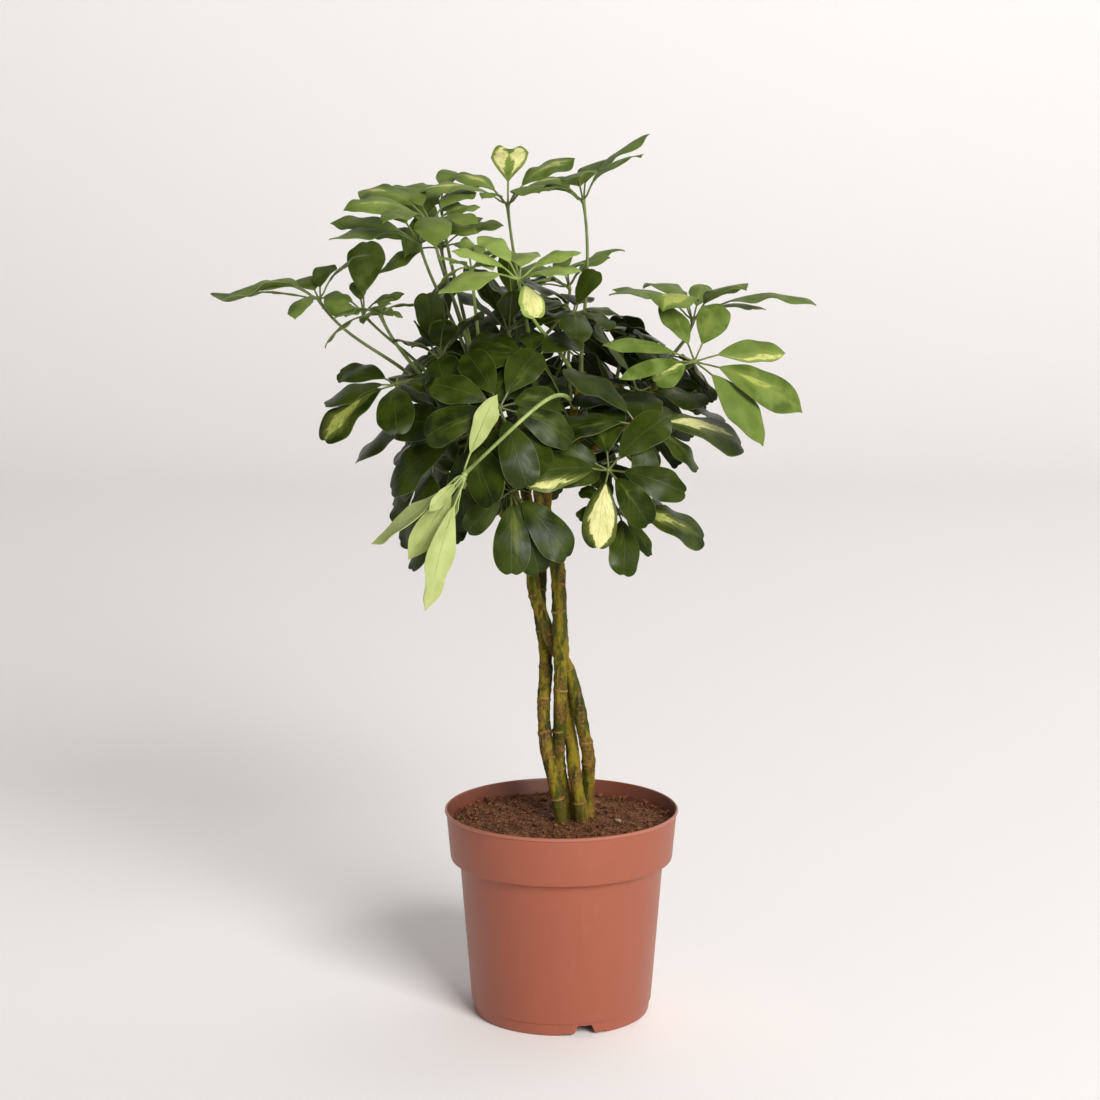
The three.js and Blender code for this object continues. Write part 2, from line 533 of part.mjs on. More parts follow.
// Rings of the petiole from its root to the hub. Its bow is pushed sideways by the given shift.
function petioleRings(leaf, bow, extra) {
  const length = leaf.root.distanceTo(leaf.hub);
  const pull = length * PETIOLE_PULL;
  const start = leaf.hub.clone().sub(leaf.root).normalize();
  start.z += PETIOLE_LIFT;
  start.normalize();
  const bend = new THREE.Vector3(...(ARCHES[leaf.name] ?? [0, 0, 0]));
  bend.addScaledVector(leaf.across, bow[0]).addScaledVector(leaf.away, bow[1]);
  const end = leaf.hub.clone().addScaledVector(leaf.up, -HUB_HEIGHT / 2 - HUB_NECK);
  const arrival = end.clone().sub(leaf.root).normalize();
  arrival.multiplyScalar(1 - PETIOLE_SWEEP).addScaledVector(leaf.up, PETIOLE_SWEEP).normalize();
  const curve = new THREE.CubicBezierCurve3(
    leaf.root,
    leaf.root.clone().addScaledVector(start, pull).add(bend),
    end.clone().addScaledVector(arrival, -pull).add(bend),
    end,
  );
  const rings = [];
  let side = leaf.across.clone();
  const steps = ARCHES[leaf.name] ? PETIOLE_STEPS * 2 : PETIOLE_STEPS;
  for (let i = steps; i >= 0; i--) {
    const t = i / steps;
    const tangent = i === steps ? leaf.up.clone() : curve.getTangent(t);
    side.addScaledVector(tangent, -side.dot(tangent)).normalize();
    const other = new THREE.Vector3().crossVectors(tangent, side);
    const radius = THREE.MathUtils.lerp(PETIOLE_BASE_RADIUS, PETIOLE_TIP_RADIUS, t) + extra;
    const centre = curve.getPoint(t);
    rings.unshift(circle(centre, side, other, radius, PETIOLE_SIDES, 0));
    side = side.clone();
  }
  return rings;
}

function circle(centre, side, other, radius, count, startAngle) {
  const points = [];
  for (let k = 0; k < count; k++) {
    const angle = startAngle + (2 * Math.PI * k) / count;
    const point = centre.clone().addScaledVector(side, Math.cos(angle) * radius);
    points.push(point.addScaledVector(other, Math.sin(angle) * radius));
  }
  return points;
}

function leafletAngle(leaf, k) {
  return degrees(leaf.turn) + (2 * Math.PI * k) / leaf.leaflets;
}

function hubRings(leaf, extra) {
  const start = degrees(leaf.turn) - Math.PI / leaf.leaflets;
  return [-1, 1].map((end) => {
    const centre = leaf.hub.clone().addScaledVector(leaf.up, (end * HUB_HEIGHT) / 2 + end * extra);
    return circle(centre, leaf.across, leaf.away, HUB_RADIUS + extra, leaf.leaflets, start);
  });
}

// A leaflet's sections from its stalk's end to its tip, each as [lower rib, right edge, upper rib, left
// edge]. The rib is an arc that rises from the hub and then droops, and the blade is folded along it.
// The leaflet's fit is the lift and size that it was given.
function leafletSections(leaf, k, [lift, size], extra) {
  const number = leaf.number;
  const [turned, raised, scale, ownHabit] = leaf.special[k] ?? [0, 0, 1];
  const habit = HABITS[ownHabit] ?? leaf.habit;
  const angle = leafletAngle(leaf, k) + degrees(turned + TURN_SPREAD_DEG * spread(number, k, 1));
  const out = leaf.across.clone().multiplyScalar(Math.cos(angle)).addScaledVector(leaf.away, Math.sin(angle));
  const right = new THREE.Vector3().crossVectors(leaf.up, out);
  const reach = leaf.reach * scale * size * (1 + REACH_SPREAD * spread(number, k, 2));
  const rise = degrees(habit.rise + lift + raised + RISE_SPREAD_DEG * spread(number, k, 3));
  const droop = degrees(habit.droop + DROOP_SPREAD_DEG * spread(number, k, 4));
  const twist = degrees(TWIST_SPREAD_DEG * spread(number, k, 5));
  const blade = reach * (1 - habit.stalk);
  const fold = degrees(habit.fold);

  function ribAt(share) {
    const slope = rise - droop * share;
    const radius = reach / droop;
    const run = HUB_RADIUS + radius * (Math.sin(rise) - Math.sin(slope));
    const point = leaf.hub.clone().addScaledVector(out, run);
    point.addScaledVector(leaf.up, radius * (Math.cos(slope) - Math.cos(rise)));
    point.z -= BLADE_SAG * reach * share * share;
    const face = leaf.up.clone().multiplyScalar(Math.cos(slope)).addScaledVector(out, -Math.sin(slope));
    return { point, face };
  }

  function section(t, halfWidth, halfDepth, foldBy, pullBack) {
    const { point, face } = ribAt(habit.stalk + (1 - habit.stalk) * t);
    const rib = ribAt(habit.stalk + (1 - habit.stalk) * (t - pullBack)).point;
    const roll = twist * t;
    const side = right.clone().multiplyScalar(Math.cos(roll)).addScaledVector(face, Math.sin(roll));
    const top = face.clone().multiplyScalar(Math.cos(roll)).addScaledVector(right, -Math.sin(roll));
    const half = halfWidth + extra;
    const drop = half * Math.sin(foldBy);
    const edge = (way) =>
      point.clone().addScaledVector(side, way * half * Math.cos(foldBy)).addScaledVector(top, -drop);
    return [
      rib.clone().addScaledVector(top, -halfDepth - extra),
      edge(1),
      rib.clone().addScaledVector(top, halfDepth + extra),
      edge(-1),
    ];
  }

  const halfRib = RIB_THICKNESS / 2;
  const shape = habit.notched ? BLADE_SECTIONS.notched : BLADE_SECTIONS.pointed;
  const sections = [section(0, STALK_HALF_WIDTH, STALK_HALF_DEPTH, 0, 0)];
  for (const [t, share] of shape) {
    const pullBack = t === 1 ? NOTCH_DEPTH : 0;
    sections.push(section(t, habit.width * blade * share, halfRib, fold, pullBack));
  }
  return { sections, tip: habit.notched ? null : ribAt(1).point };
}

function addLeaflet(shell, mouth, { sections, tip }) {
  let last = mouth;
  for (const points of sections) {
    const ring = shell.ring(points);
    shell.band(last, ring);
    last = ring;
  }
  if (tip) shell.cone(last, tip);
  else shell.cap(last);
}

// The four corners on the hub's side that leaflet k grows from.
function mouthOf(bottom, top, k) {
  const next = (k + 1) % bottom.length;
  return [bottom[k], bottom[next], top[next], top[k]];
}

function leafletSolid(leaf, k, fit, extra) {
  const [bottom, top] = hubRings(leaf, 0);
  const shell = new Shell();
  const mouth = shell.ring(mouthOf(bottom, top, k));
  shell.cap([...mouth].reverse());
  addLeaflet(shell, mouth, leafletSections(leaf, k, fit, extra));
  return shell.solid();
}

// Petiole and hub, with the chosen leaflets growing from the hub's sides. A fit of null is no leaflet.
function leafSolid(leaf, bow, fits, extra) {
  const shell = new Shell();
  const rings = petioleRings(leaf, bow, extra).map((points) => shell.ring(points));
  shell.cap([...rings[0]].reverse());
  rings.slice(1).forEach((ring, i) => shell.band(rings[i], ring));
  const [bottom, top] = hubRings(leaf, extra).map((points) => shell.ring(points));
  shell.stitch(rings[rings.length - 1], bottom);
  fits.forEach((fit, k) => {
    const mouth = mouthOf(bottom, top, k);
    if (fit === null) shell.cap(mouth);
    else addLeaflet(shell, mouth, leafletSections(leaf, k, fit, 0));
  });
  shell.cone(top, leaf.hub.clone().addScaledVector(leaf.up, HUB_HEIGHT / 2 + HUB_CROWN + extra));
  return shell.solid();
}

function boxesMeet(a, b) {
  return [0, 1, 2].every((i) => a.min[i] <= b.max[i] && b.min[i] <= a.max[i]);
}

function meets(solid, others) {
  const box = solid.boundingBox();
  return others.some((other) => boxesMeet(box, other.box) && !solid.intersect(other.solid).isEmpty());
}

function obstacle(solid, owner) {
  return { solid, owner, box: solid.boundingBox() };
}

// The first bow that keeps the petiole in one piece and clear of the petioles before it.
function clearBow(leaf, stems, placed) {
  const bare = new Array(leaf.leaflets).fill(null);
  for (const bow of BOWS) {
    let wide = leafSolid(leaf, bow, bare, GAP);
    let slim = leafSolid(leaf, bow, bare, 0);
    const own = stems.find((stem) => stem.name === ownerOf(leaf.from));
    wide = wide.subtract(own.clearance);
    slim = slim.subtract(own.clearance);
    const others = stems.filter((stem) => stem !== own).map((stem) => stem.obstacle);
    if (slim.decompose().length === 1 && !meets(wide, [...others, ...placed])) return { bow, slim };
  }
  return null;
}

// The first fit that keeps leaflet k clear of everything placed before it, or null if none does.
function clearFit(leaf, k, placed) {
  const others = placed.filter((item) => item.owner !== leaf.name);
  const siblings = placed.filter((item) => item.owner === leaf.name && item.leaflet);
  for (const size of SIZES) {
    for (const lift of LIFTS) {
      const fit = [lift, size];
      if (meets(leafletSolid(leaf, k, fit, GAP), others)) continue;
      if (!meets(leafletSolid(leaf, k, fit, 0), siblings)) return fit;
    }
  }
  return null;
}

function named(name, geometry, look) {
  const material = new THREE.MeshStandardMaterial({ ...look, metalness: 0, flatShading: true });
  const mesh = new THREE.Mesh(geometry, material);
  mesh.name = name;
  return mesh;
}

function makePlant() {
  const plant = new THREE.Group();
  const stems = Object.entries(STEMS).map(([name, plan]) => {
    const solid = makeStem(plan, 0);
    return { name, solid, clearance: makeStem(plan, GAP), obstacle: obstacle(solid, name) };
  });
  plant.add(named("pot", makePot(), COLOURS.pot));
  plant.add(named("soil", makeSoil(stems), COLOURS.soil));
  for (const stem of stems) plant.add(named(stem.name, geometryOf(stem.solid), COLOURS.stem));

  const leaves = LEAVES.map(leafPlan);
  const placed = stems.map((stem) => stem.obstacle);
  const petioles = [];
  for (const leaf of leaves) {
    const found = clearBow(leaf, stems, petioles);
    if (!found) throw new Error(leaf.name + " has no clear way for its petiole");
    leaf.bow = found.bow;
    petioles.push(obstacle(found.slim, leaf.name));
  }
  placed.push(...petioles);
  for (const leaf of leaves) {
    leaf.fits = [];
    for (let k = 0; k < leaf.leaflets; k++) {
      const fit = clearFit(leaf, k, placed);
      leaf.fits.push(fit);
      if (fit) placed.push({ ...obstacle(leafletSolid(leaf, k, fit, 0), leaf.name), leaflet: true });
    }
    const own = stems.find((stem) => stem.name === ownerOf(leaf.from));
    const solid = leafSolid(leaf, leaf.bow, leaf.fits, 0).subtract(own.clearance);
    plant.add(named(leaf.name, geometryOf(solid), COLOURS[leaf.habitName]));
  }
  return plant;
}

export default makePlant();
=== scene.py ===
"""Potted umbrella plant: pot, soil, braided bark and variegated leaves, made around the packed solids."""
import math
import random
from contextlib import contextmanager

import bpy
import numpy as np
from bpy.props import FloatProperty, FloatVectorProperty, IntProperty, PointerProperty
from bpy.types import Operator, Panel, PropertyGroup
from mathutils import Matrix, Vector
from mathutils.kdtree import KDTree


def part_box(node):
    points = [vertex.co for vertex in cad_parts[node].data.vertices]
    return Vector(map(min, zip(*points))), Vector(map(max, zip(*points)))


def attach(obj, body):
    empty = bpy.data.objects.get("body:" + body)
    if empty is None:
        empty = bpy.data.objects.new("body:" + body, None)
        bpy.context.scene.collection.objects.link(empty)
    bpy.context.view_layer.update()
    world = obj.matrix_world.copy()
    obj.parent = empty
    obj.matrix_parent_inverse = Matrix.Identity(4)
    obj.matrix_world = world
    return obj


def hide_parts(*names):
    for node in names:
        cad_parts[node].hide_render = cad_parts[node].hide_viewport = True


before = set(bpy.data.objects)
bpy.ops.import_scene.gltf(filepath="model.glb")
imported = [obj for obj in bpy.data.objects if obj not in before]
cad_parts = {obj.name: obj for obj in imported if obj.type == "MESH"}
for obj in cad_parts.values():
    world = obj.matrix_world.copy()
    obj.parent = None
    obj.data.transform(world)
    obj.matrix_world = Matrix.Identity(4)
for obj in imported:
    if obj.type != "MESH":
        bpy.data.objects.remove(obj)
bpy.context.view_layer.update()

bl_info = {
    "name": "Potted umbrella plant",
    "version": (1, 0, 0),
    "blender": (4, 5, 0),
    "location": "View3D > Sidebar > Plant",
    "description": "Dresses the solids of a potted umbrella plant with bark, soil and variegated leaves",
    "category": "Add Mesh",
}

MM = 0.001

# Pot, from the frame's own pot
POT_LOW, POT_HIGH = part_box("pot")
POT_HEIGHT = POT_HIGH[2] - POT_LOW[2]
RIM_RADIUS = POT_HIGH[0]
POT_WALL = 2 * MM
COLLAR_HEIGHT = 45 * MM
LEDGE_HEIGHT = 3 * MM
COLLAR_BASE = POT_HEIGHT - COLLAR_HEIGHT
LEDGE_BASE = COLLAR_BASE - LEDGE_HEIGHT
COLLAR_BASE_RADIUS = RIM_RADIUS - 5 * MM
BODY_TOP_RADIUS = RIM_RADIUS - 13.6 * MM
BODY_BASE_RADIUS = RIM_RADIUS - 23.5 * MM
FOOT_HEIGHT = 12 * MM
FLOOR_RISE = 8 * MM
FLOOR_TOP = FLOOR_RISE + POT_WALL
FLOOR_HUB_RADIUS = 24 * MM
AXIS_GAP = 2 * MM
DRAIN_NOTCHES = 3
FIRST_NOTCH = math.radians(-75)
NOTCH_HEIGHT = 9.5 * MM
NOTCH_WIDTH = 22 * MM
NOTCH_TOP_WIDTH = 13 * MM
NOTCH_SLOT_WIDTH = 41 * MM
NOTCH_SLOT_HEIGHT = 2 * MM
NOTCH_DEPTH = 14 * MM
NOTCH_MIDDLE = BODY_BASE_RADIUS - 6 * MM
NOTCH_SUNK = 1 * MM

# Soil, from the frame's own soil
SOIL_LEVEL = POT_HIGH[2] - 14 * MM
SOIL_MOUND = 4 * MM
SOIL_SIDES = 96
SOIL_RINGS = 34
CRUMB_SEED = 21
PALE_GRAIN_EVERY = 400
FIRST_PALE_GRAIN = 7
FIBRE_SEED = 33
FIBRE_KNOTS = 6
FIBRE_STEP = 1.9 * MM
FIBRE_SIDES = 4

# Lines of the stems and side shoots, in mm, as the solids have them. Their lengths are summed in fine steps.
FINE_STEPS = 600
STEM_LINES = {
    "stem_front_left": [
        (2, -17, 130), (0, -16, 180), (-5, -15, 208), (-13, -12, 244), (-16, -5, 279), (-14, 6, 310),
        (-15, 14, 334), (-18, 16, 356), (-20, 15, 378), (-19, 15, 402), (-28, 22, 446), (-34, 32, 490),
        (-36, 40, 540), (-34, 40, 590),
    ],
    "stem_centre": [
        (9, 5, 130), (8, 4, 176), (1, 2, 208), (-3, -1, 236), (-1.5, -8, 270), (-1, -12, 308),
        (-1, -13, 336), (-2, -13, 356), (-3, -12, 380), (-4, -12, 405), (-10, -14, 432), (-18, -20, 462),
        (-22, -30, 500), (-22, -36, 550), (-26, -32, 600),
    ],
    "stem_front_right": [
        (20, -13, 130), (18, -12, 179), (14, -9, 207), (11.5, -4, 224), (10, 2, 237), (8, 9, 252),
        (4, 12, 278), (1, 16, 308), (1, 17, 324), (0, 16, 342), (-1, 12, 362), (-2, 8, 385),
        (-3, 7, 408), (-8, 7, 434), (-14, 6, 462), (-6, 2, 500), (10, -5, 545), (18, -8, 582),
    ],
    "stem_right": [
        (26, 9, 130), (24, 8, 190), (24, 5, 214), (24, -1, 236), (19.5, -1, 258), (14, 3, 285),
        (8, 3.5, 309), (0.5, 2, 324), (-7.5, 1, 337), (-14, -2, 355), (-23, -3, 382), (-27, -2, 407),
        (-36, -4, 450), (-50, -8, 500), (-68, -12, 550), (-80, -14, 598),
    ],
}
SHOOT_LINES = {
    "stem_front_left": {
        "back": [(-31, 28, 468), (-20, 58, 505), (-12, 80, 548)],
        "back_left": [(-35, 34, 500), (-62, 54, 532), (-84, 62, 570)],
    },
    "stem_centre": {
        "front": [(-17, -20, 460), (-22, -45, 484), (-30, -70, 504)],
    },
    "stem_front_right": {
        "right": [(-12, 5, 480), (30, 10, 514), (70, 8, 546), (90, 4, 582)],
        "right_low": [(-12, 4, 482), (16, -12, 494), (42, -34, 502)],
        "back_right": [(-6, 2, 500), (28, 34, 530), (54, 60, 564)],
    },
    "stem_right": {
        "left": [(-43, -6, 478), (-80, -4, 514), (-112, -2, 556)],
        "left_low": [(-35, -4, 444), (-62, -22, 468), (-88, -40, 490)],
    },
}
STEM_RADIUS = 6.1
STEM_TIP_RADIUS = 3.2
STEM_TAPER_START = 0.55
SHOOT_RADIUS = 3.4
SHOOT_TIP_RADIUS = 2.3
SHOOT_SCAR_GAP = 11
STEM_STEP = 1.0
SHOOT_STEP = 1.5
STEM_SIDES = 20
BARK_LUMP_SIZE = 6 * MM
BARK_LUMP_HEIGHT = 1.5 * MM

# Ways a compound leaf carries its leaflets, as the solids have them: the share of the reach that is
# bare stalk, the blade's half width over its length, the rise, droop and fold in degrees, and the outline.
HABITS = {
    "old": (0.16, 0.29, 18, 46, 13, "notched"),
    "flat": (0.16, 0.27, 10, 30, 12, "notched"),
    "upright": (0.2, 0.27, 64, 30, 16, "notched"),
    "young": (0.24, 0.26, 52, 62, 17, "pointed"),
    "open": (0.2, 0.23, 22, 36, 15, "pointed"),
    "slender": (0.22, 0.12, 22, 36, 15, "pointed"),
    "broad": (0.24, 0.36, 52, 48, 14, "notched"),
    "heart": (0.34, 0.45, 52, 40, 14, "heart"),
    "fresh": (0.22, 0.19, 44, 44, 20, "pointed"),
    "hanging": (0.24, 0.2, 76, 14, 14, "pointed"),
}

# One row for each compound leaf, in mm and degrees, as the solids have it: name, stem or shoot, how far
# along it, hub, heading and height of its upper side, turn, habit, leaflets, reach, and leaflets that
# are turned, raised, scaled or of another habit.
LEAVES = [
    ("leaf_top_heart", "stem_centre", 0.985, (-47, 0, 727), (-100, 78), 48, "young", 7, 72,
      {0: (0, -3, 1.2), 1: (-2, 29, 0.78, "heart"), 2: (0, -4, 0.9), 3: (0, -6, 1.05), 4: (0, 12, 0.6),
        6: (0, 8, 0.9)}),
    ("leaf_top_mast", "stem_front_right", 0.99, (18, -15, 731), (-170, 74), -4, "young", 7, 80,
      {2: (-18, 6, 1.1), 1: (-6, 9, 1), 3: (0, 6, 0.9), 4: (0, 6, 0.9), 5: (0, 24, 0.5), 6: (0, 36, 0.6)}),
    ("leaf_crest_front", "stem_right", 0.99, (-111, -50, 713), (-100, 70), -70, "young", 8, 82,
      {1: (0, -10, 0.62), 2: (0, -6, 0.5), 3: (0, -10, 0.85), 4: (14, -6, 1), 5: (0, -3, 1),
        6: (0, -2, 1), 7: (0, 4, 0.8)}),
    ("leaf_crest_left", "stem_right", 0.965, (-123, -12, 694), (-120, 70), -28, "young", 8, 84,
      {0: (0, 0, 0.7), 1: (0, -14, 0.7), 2: (0, -10, 0.65), 5: (0, 10, 0.95), 6: (0, 0, 1.14),
        7: (-42, -38, 0.72)}),
    ("leaf_crest_back", "stem_right", 0.975, (-106, 24, 728), (-100, 76), 190, "young", 7, 56,
      {3: (0, 0, 0.7), 4: (0, 0, 0.8), 5: (0, -6, 1)}),
    ("leaf_crest_right", "stem_right", 0.95, (-106, 30, 688), (-100, 70), 125, "young", 7, 64,
      {2: (-8, 12, 1), 3: (0, 16, 0.5), 4: (0, 0, 0.8), 5: (0, -6, 1), 6: (0, -8, 1)}),
    ("leaf_far_left", "left", 0.98, (-211, -10, 646), (176, 70), 96, "young", 8, 98,
      {0: (0, 4, 0.62, "broad"), 1: (14, 8, 0.46, "broad"), 2: (10, 10, 0.46, "broad"), 3: (0, 8, 0.9),
        4: (0, 25, 0.98, "flat"), 5: (0, 4, 1), 6: (-24, -30, 0.6), 7: (-14, -54, 0.4, "broad")}),
    ("leaf_far_left_standing", "left", 0.93, (-175, 26, 632), (-100, 70), 60, "young", 7, 42,
      {0: (24, 26, 1.6, "broad")}),
    ("leaf_far_left_back", "left", 0.88, (-156, -36, 635), (170, 74), 22, "young", 7, 56,
      {0: (0, -14, 0.7), 1: (-10, -34, 0.4), 2: (0, -26, 0.58), 3: (0, -6, 0.7), 4: (0, -18, 0.6),
        5: (22, -36, 1.05), 6: (0, -12, 0.9)}),
    ("leaf_fresh_left", "stem_right", 0.93, (-77, -60, 676), (-110, 78), 12, "fresh", 7, 46,
      {0: (0, 0, 0.8), 1: (0, 0, 0.8), 3: (0, -14, 0.85), 4: (0, 4, 0.7)}),
    ("leaf_fresh_front", "stem_front_right", 0.975, (-36, -92, 669), (-80, 70), 30, "fresh", 8, 62,
      {1: (0, -30, 0.95, "broad"), 2: (0, -12, 0.95, "young"), 4: (-6, -20, 1.35, "young"),
        5: (30, -44, 0.66, "broad"), 7: (0, -6, 0.9)}),
    ("leaf_crown_back", "stem_front_left", 0.985, (6, 40, 653), (196, 64), 0, "young", 7, 68,
      {1: (0, -8, 0.8), 2: (0, -8, 0.96), 3: (0, -4, 0.9)}),
    ("leaf_right_high", "right", 0.98, (116, 30, 624), (-20, 84), 6, "young", 8, 108,
      {0: (0, 4, 0.6), 1: (0, 0, 0.8), 2: (-10, 1, 0.75), 3: (0, -8, 0.94), 5: (0, 9, 0.8), 6: (0, -5, 1),
        7: (-20, 0, 0.64)}),
    ("leaf_right_open", "right", 0.92, (113, -62, 597), (-68, 40), 8, "open", 8, 94,
      {0: (-3, -18, 0.84, "fresh"), 1: (9, 0, 0.84), 2: (-1, 0, 0.76), 3: (24, 4, 0.84, "slender"),
        4: (0, 0, 0.86, "slender"), 5: (-30, -30, 0.5, "broad"), 6: (26, 0, 0.92), 7: (-1, 0, 1.07)}),
    ("leaf_front_hanging", "stem_front_right", 0.95, (-81, -150, 512), (164, -52), 13, "hanging", 7, 96,
      {0: (0, 0, 0.4), 2: (20, -134, 0.74), 3: (0, -30, 0.4), 4: (0, 0, 0.5), 5: (31, 0, 1.08),
        6: (8, 0, 0.85)}),
    ("leaf_front_left_wide", "left_low", 0.97, (-78, -100, 540), (-125, 34), 40, "old", 8, 78),
    ("leaf_front_fan", "front", 0.97, (-52, -126, 565), (-88, 30), 20, "old", 8, 64),
    ("leaf_front_low", "front", 0.85, (-43, -118, 494), (-86, 26), 24, "old", 8, 76,
      {4: (10, 0, 0.62), 5: (20, 0, 0.94), 6: (0, 0, 0.89), 7: (-31, 0, 0.96)}),
    ("leaf_right_low", "right_low", 0.97, (48, -92, 472), (-50, 50), -4, "old", 8, 74,
      {3: (0, 10, 0.5), 4: (0, 0, 0.6), 5: (26, 0, 0.8), 6: (14, 0, 0.58), 7: (24, 0, 1.18)}),
    ("leaf_front_right_hang", "right_low", 0.75, (39, -108, 510), (-100, 34), 0, "old", 7, 74,
      {0: (-14, 0, 0.88), 3: (8, 0, 0.8), 4: (-8, 0, 1), 5: (14, 0, 0.85), 6: (0, 0, 0.82)}),
    ("leaf_right_tier", "right", 0.66, (66, -84, 544), (-60, 66), -10, "old", 8, 88,
      {0: (-6, -3, 1.12), 1: (-16, 8, 0.9), 6: (0, 0, 0.6), 7: (0, 4, 0.66)}),
    ("leaf_left_tier", "left", 0.8, (-142, -48, 576), (-120, 62), 0, "old", 8, 80,
      {0: (0, 0, 0.7), 1: (-16, 0, 0.9), 3: (-14, 12, 0.56), 4: (-10, 18, 0.74), 5: (-2, 8, 0.82),
        6: (-21, 6, 0.98), 7: (-18, 0, 0.9)}),
    ("leaf_left_upright", "stem_right", 0.9, (-106, -36, 598), (-140, 84), 20, "upright", 7, 62,
      {3: (-16, 8, 0.9), 4: (-8, 12, 0.66), 5: (0, -14, 0.8)}),
    ("leaf_front_high", "stem_centre", 0.93, (-25, -90, 600), (-82, 54), 0, "old", 8, 66),
    ("leaf_right_upright", "stem_front_right", 0.94, (10, -30, 636), (-60, 76), 14, "old", 8, 62,
      {0: (4, 7, 0.74), 6: (10, 4, 0.62), 7: (16, 14, 0.66)}),
    ("leaf_crown_dark", "stem_centre", 0.97, (-46, -22, 620), (-95, 78), 24, "upright", 7, 66,
      {2: (0, -6, 0.94), 3: (0, 0, 0.84), 4: (0, 0, 0.96)}),
    ("leaf_front_left_shield", "stem_right", 0.87, (-85, -84, 573), (-128, 50), 25, "old", 8, 74),
    ("leaf_right_shelf", "right", 0.8, (69, 0, 564), (-70, 76), 30, "flat", 8, 78,
      {6: (0, 0, 0.9), 7: (0, -6, 0.95)}),
    ("leaf_left_low", "left_low", 0.88, (-118, -46, 508), (-156, 34), 20, "old", 7, 66,
      {4: (0, 0, 0.8), 5: (0, 0, 0.85)}),
    ("leaf_left_under", "left_low", 0.72, (-96, -66, 482), (-140, 30), 5, "old", 7, 70,
      {6: (0, 0, 0.6)}),
    ("leaf_left_shelf", "left", 0.68, (-116, -76, 547), (-142, 42), 30, "flat", 8, 78,
      {5: (0, 0, 0.8)}),
    ("leaf_right_side", "right_low", 0.6, (56, 20, 506), (4, 40), 12, "flat", 7, 58),
    ("leaf_back_right_high", "right", 0.88, (96, 58, 590), (28, 42), 16, "old", 8, 74,
      {1: (0, -8, 0.7), 2: (0, -8, 0.7), 4: (0, 0, 0.8), 5: (0, 0, 0.75), 6: (0, 0, 0.85)}),
    ("leaf_back_right", "back_right", 0.97, (62, 96, 562), (58, 30), 4, "old", 8, 76),
    ("leaf_back_high", "back", 0.98, (4, 112, 592), (88, 40), 20, "old", 8, 76),
    ("leaf_back_left", "back", 0.9, (-56, 104, 570), (116, 28), 10, "old", 8, 76),
    ("leaf_back_left_high", "back_left", 0.98, (-106, 66, 592), (148, 42), 26, "old", 8, 74),
    ("leaf_back_left_tier", "back_left", 0.88, (-126, 48, 540), (166, 14), 6, "old", 7, 60),
    ("leaf_back_right_low", "back_right", 0.7, (68, 72, 536), (42, 24), 22, "old", 7, 60),
    ("leaf_back_low", "back_right", 0.5, (26, 104, 540), (76, 20), 12, "old", 7, 70),
    ("leaf_back_left_low", "back", 0.66, (-34, 106, 540), (100, 16), 2, "old", 7, 70),
    ("leaf_back_left_under", "back_left", 0.62, (-96, 76, 520), (140, 20), 18, "old", 7, 66),
    ("leaf_crown_back_right", "back_right", 0.86, (58, 56, 608), (44, 74), 9, "old", 7, 54),
    ("leaf_crown_back_left", "stem_front_left", 0.95, (-44, 62, 634), (112, 66), 21, "upright", 7, 56),
    ("leaf_back_under", "back", 0.4, (-46, 62, 500), (110, 6), 14, "old", 7, 54),
]

# Measures that every compound leaf shares, as the solids have them
PETIOLE_BASE_RADIUS = 2
PETIOLE_TIP_RADIUS = 1.3
PETIOLE_PULL = 0.36
PETIOLE_SWEEP = 0.55
PETIOLE_LIFT = (0, 0, 0.5)
HUB_RADIUS = 3
HUB_HEIGHT = 2.4
HUB_RINGS = ((-1.2, 2.3), (0, 2.7), (1, 2.2), (1.9, 1.1), (2.2, 0.3))
BLADE_SAG = 0.07
REACH_SPREAD = 0.14
TURN_SPREAD = 12
RISE_SPREAD = 12
DROOP_SPREAD = 16
TWIST_SPREAD = 26
LIFTS = (0, -10, 10, -20, 20, -30, 30, -42, 42, -54, 54)
SIZES = (1, 0.72)
BOWS = ((0, 0), (8, 0), (-8, 0), (0, 8), (0, -8), (14, 8), (-14, 8), (14, -8), (-14, -8), (22, 0), (-22, 0))
FIT_TOLERANCE = 0.2
ARCHES = {"leaf_front_hanging": (18, -120, 28)}

# The last section of a leaflet's solid: how far along it stands, and its half width, where 1 is the widest
POINTED_SECTION = (0.68, 0.96)
NOTCHED_SECTION = (1.0, 0.42)

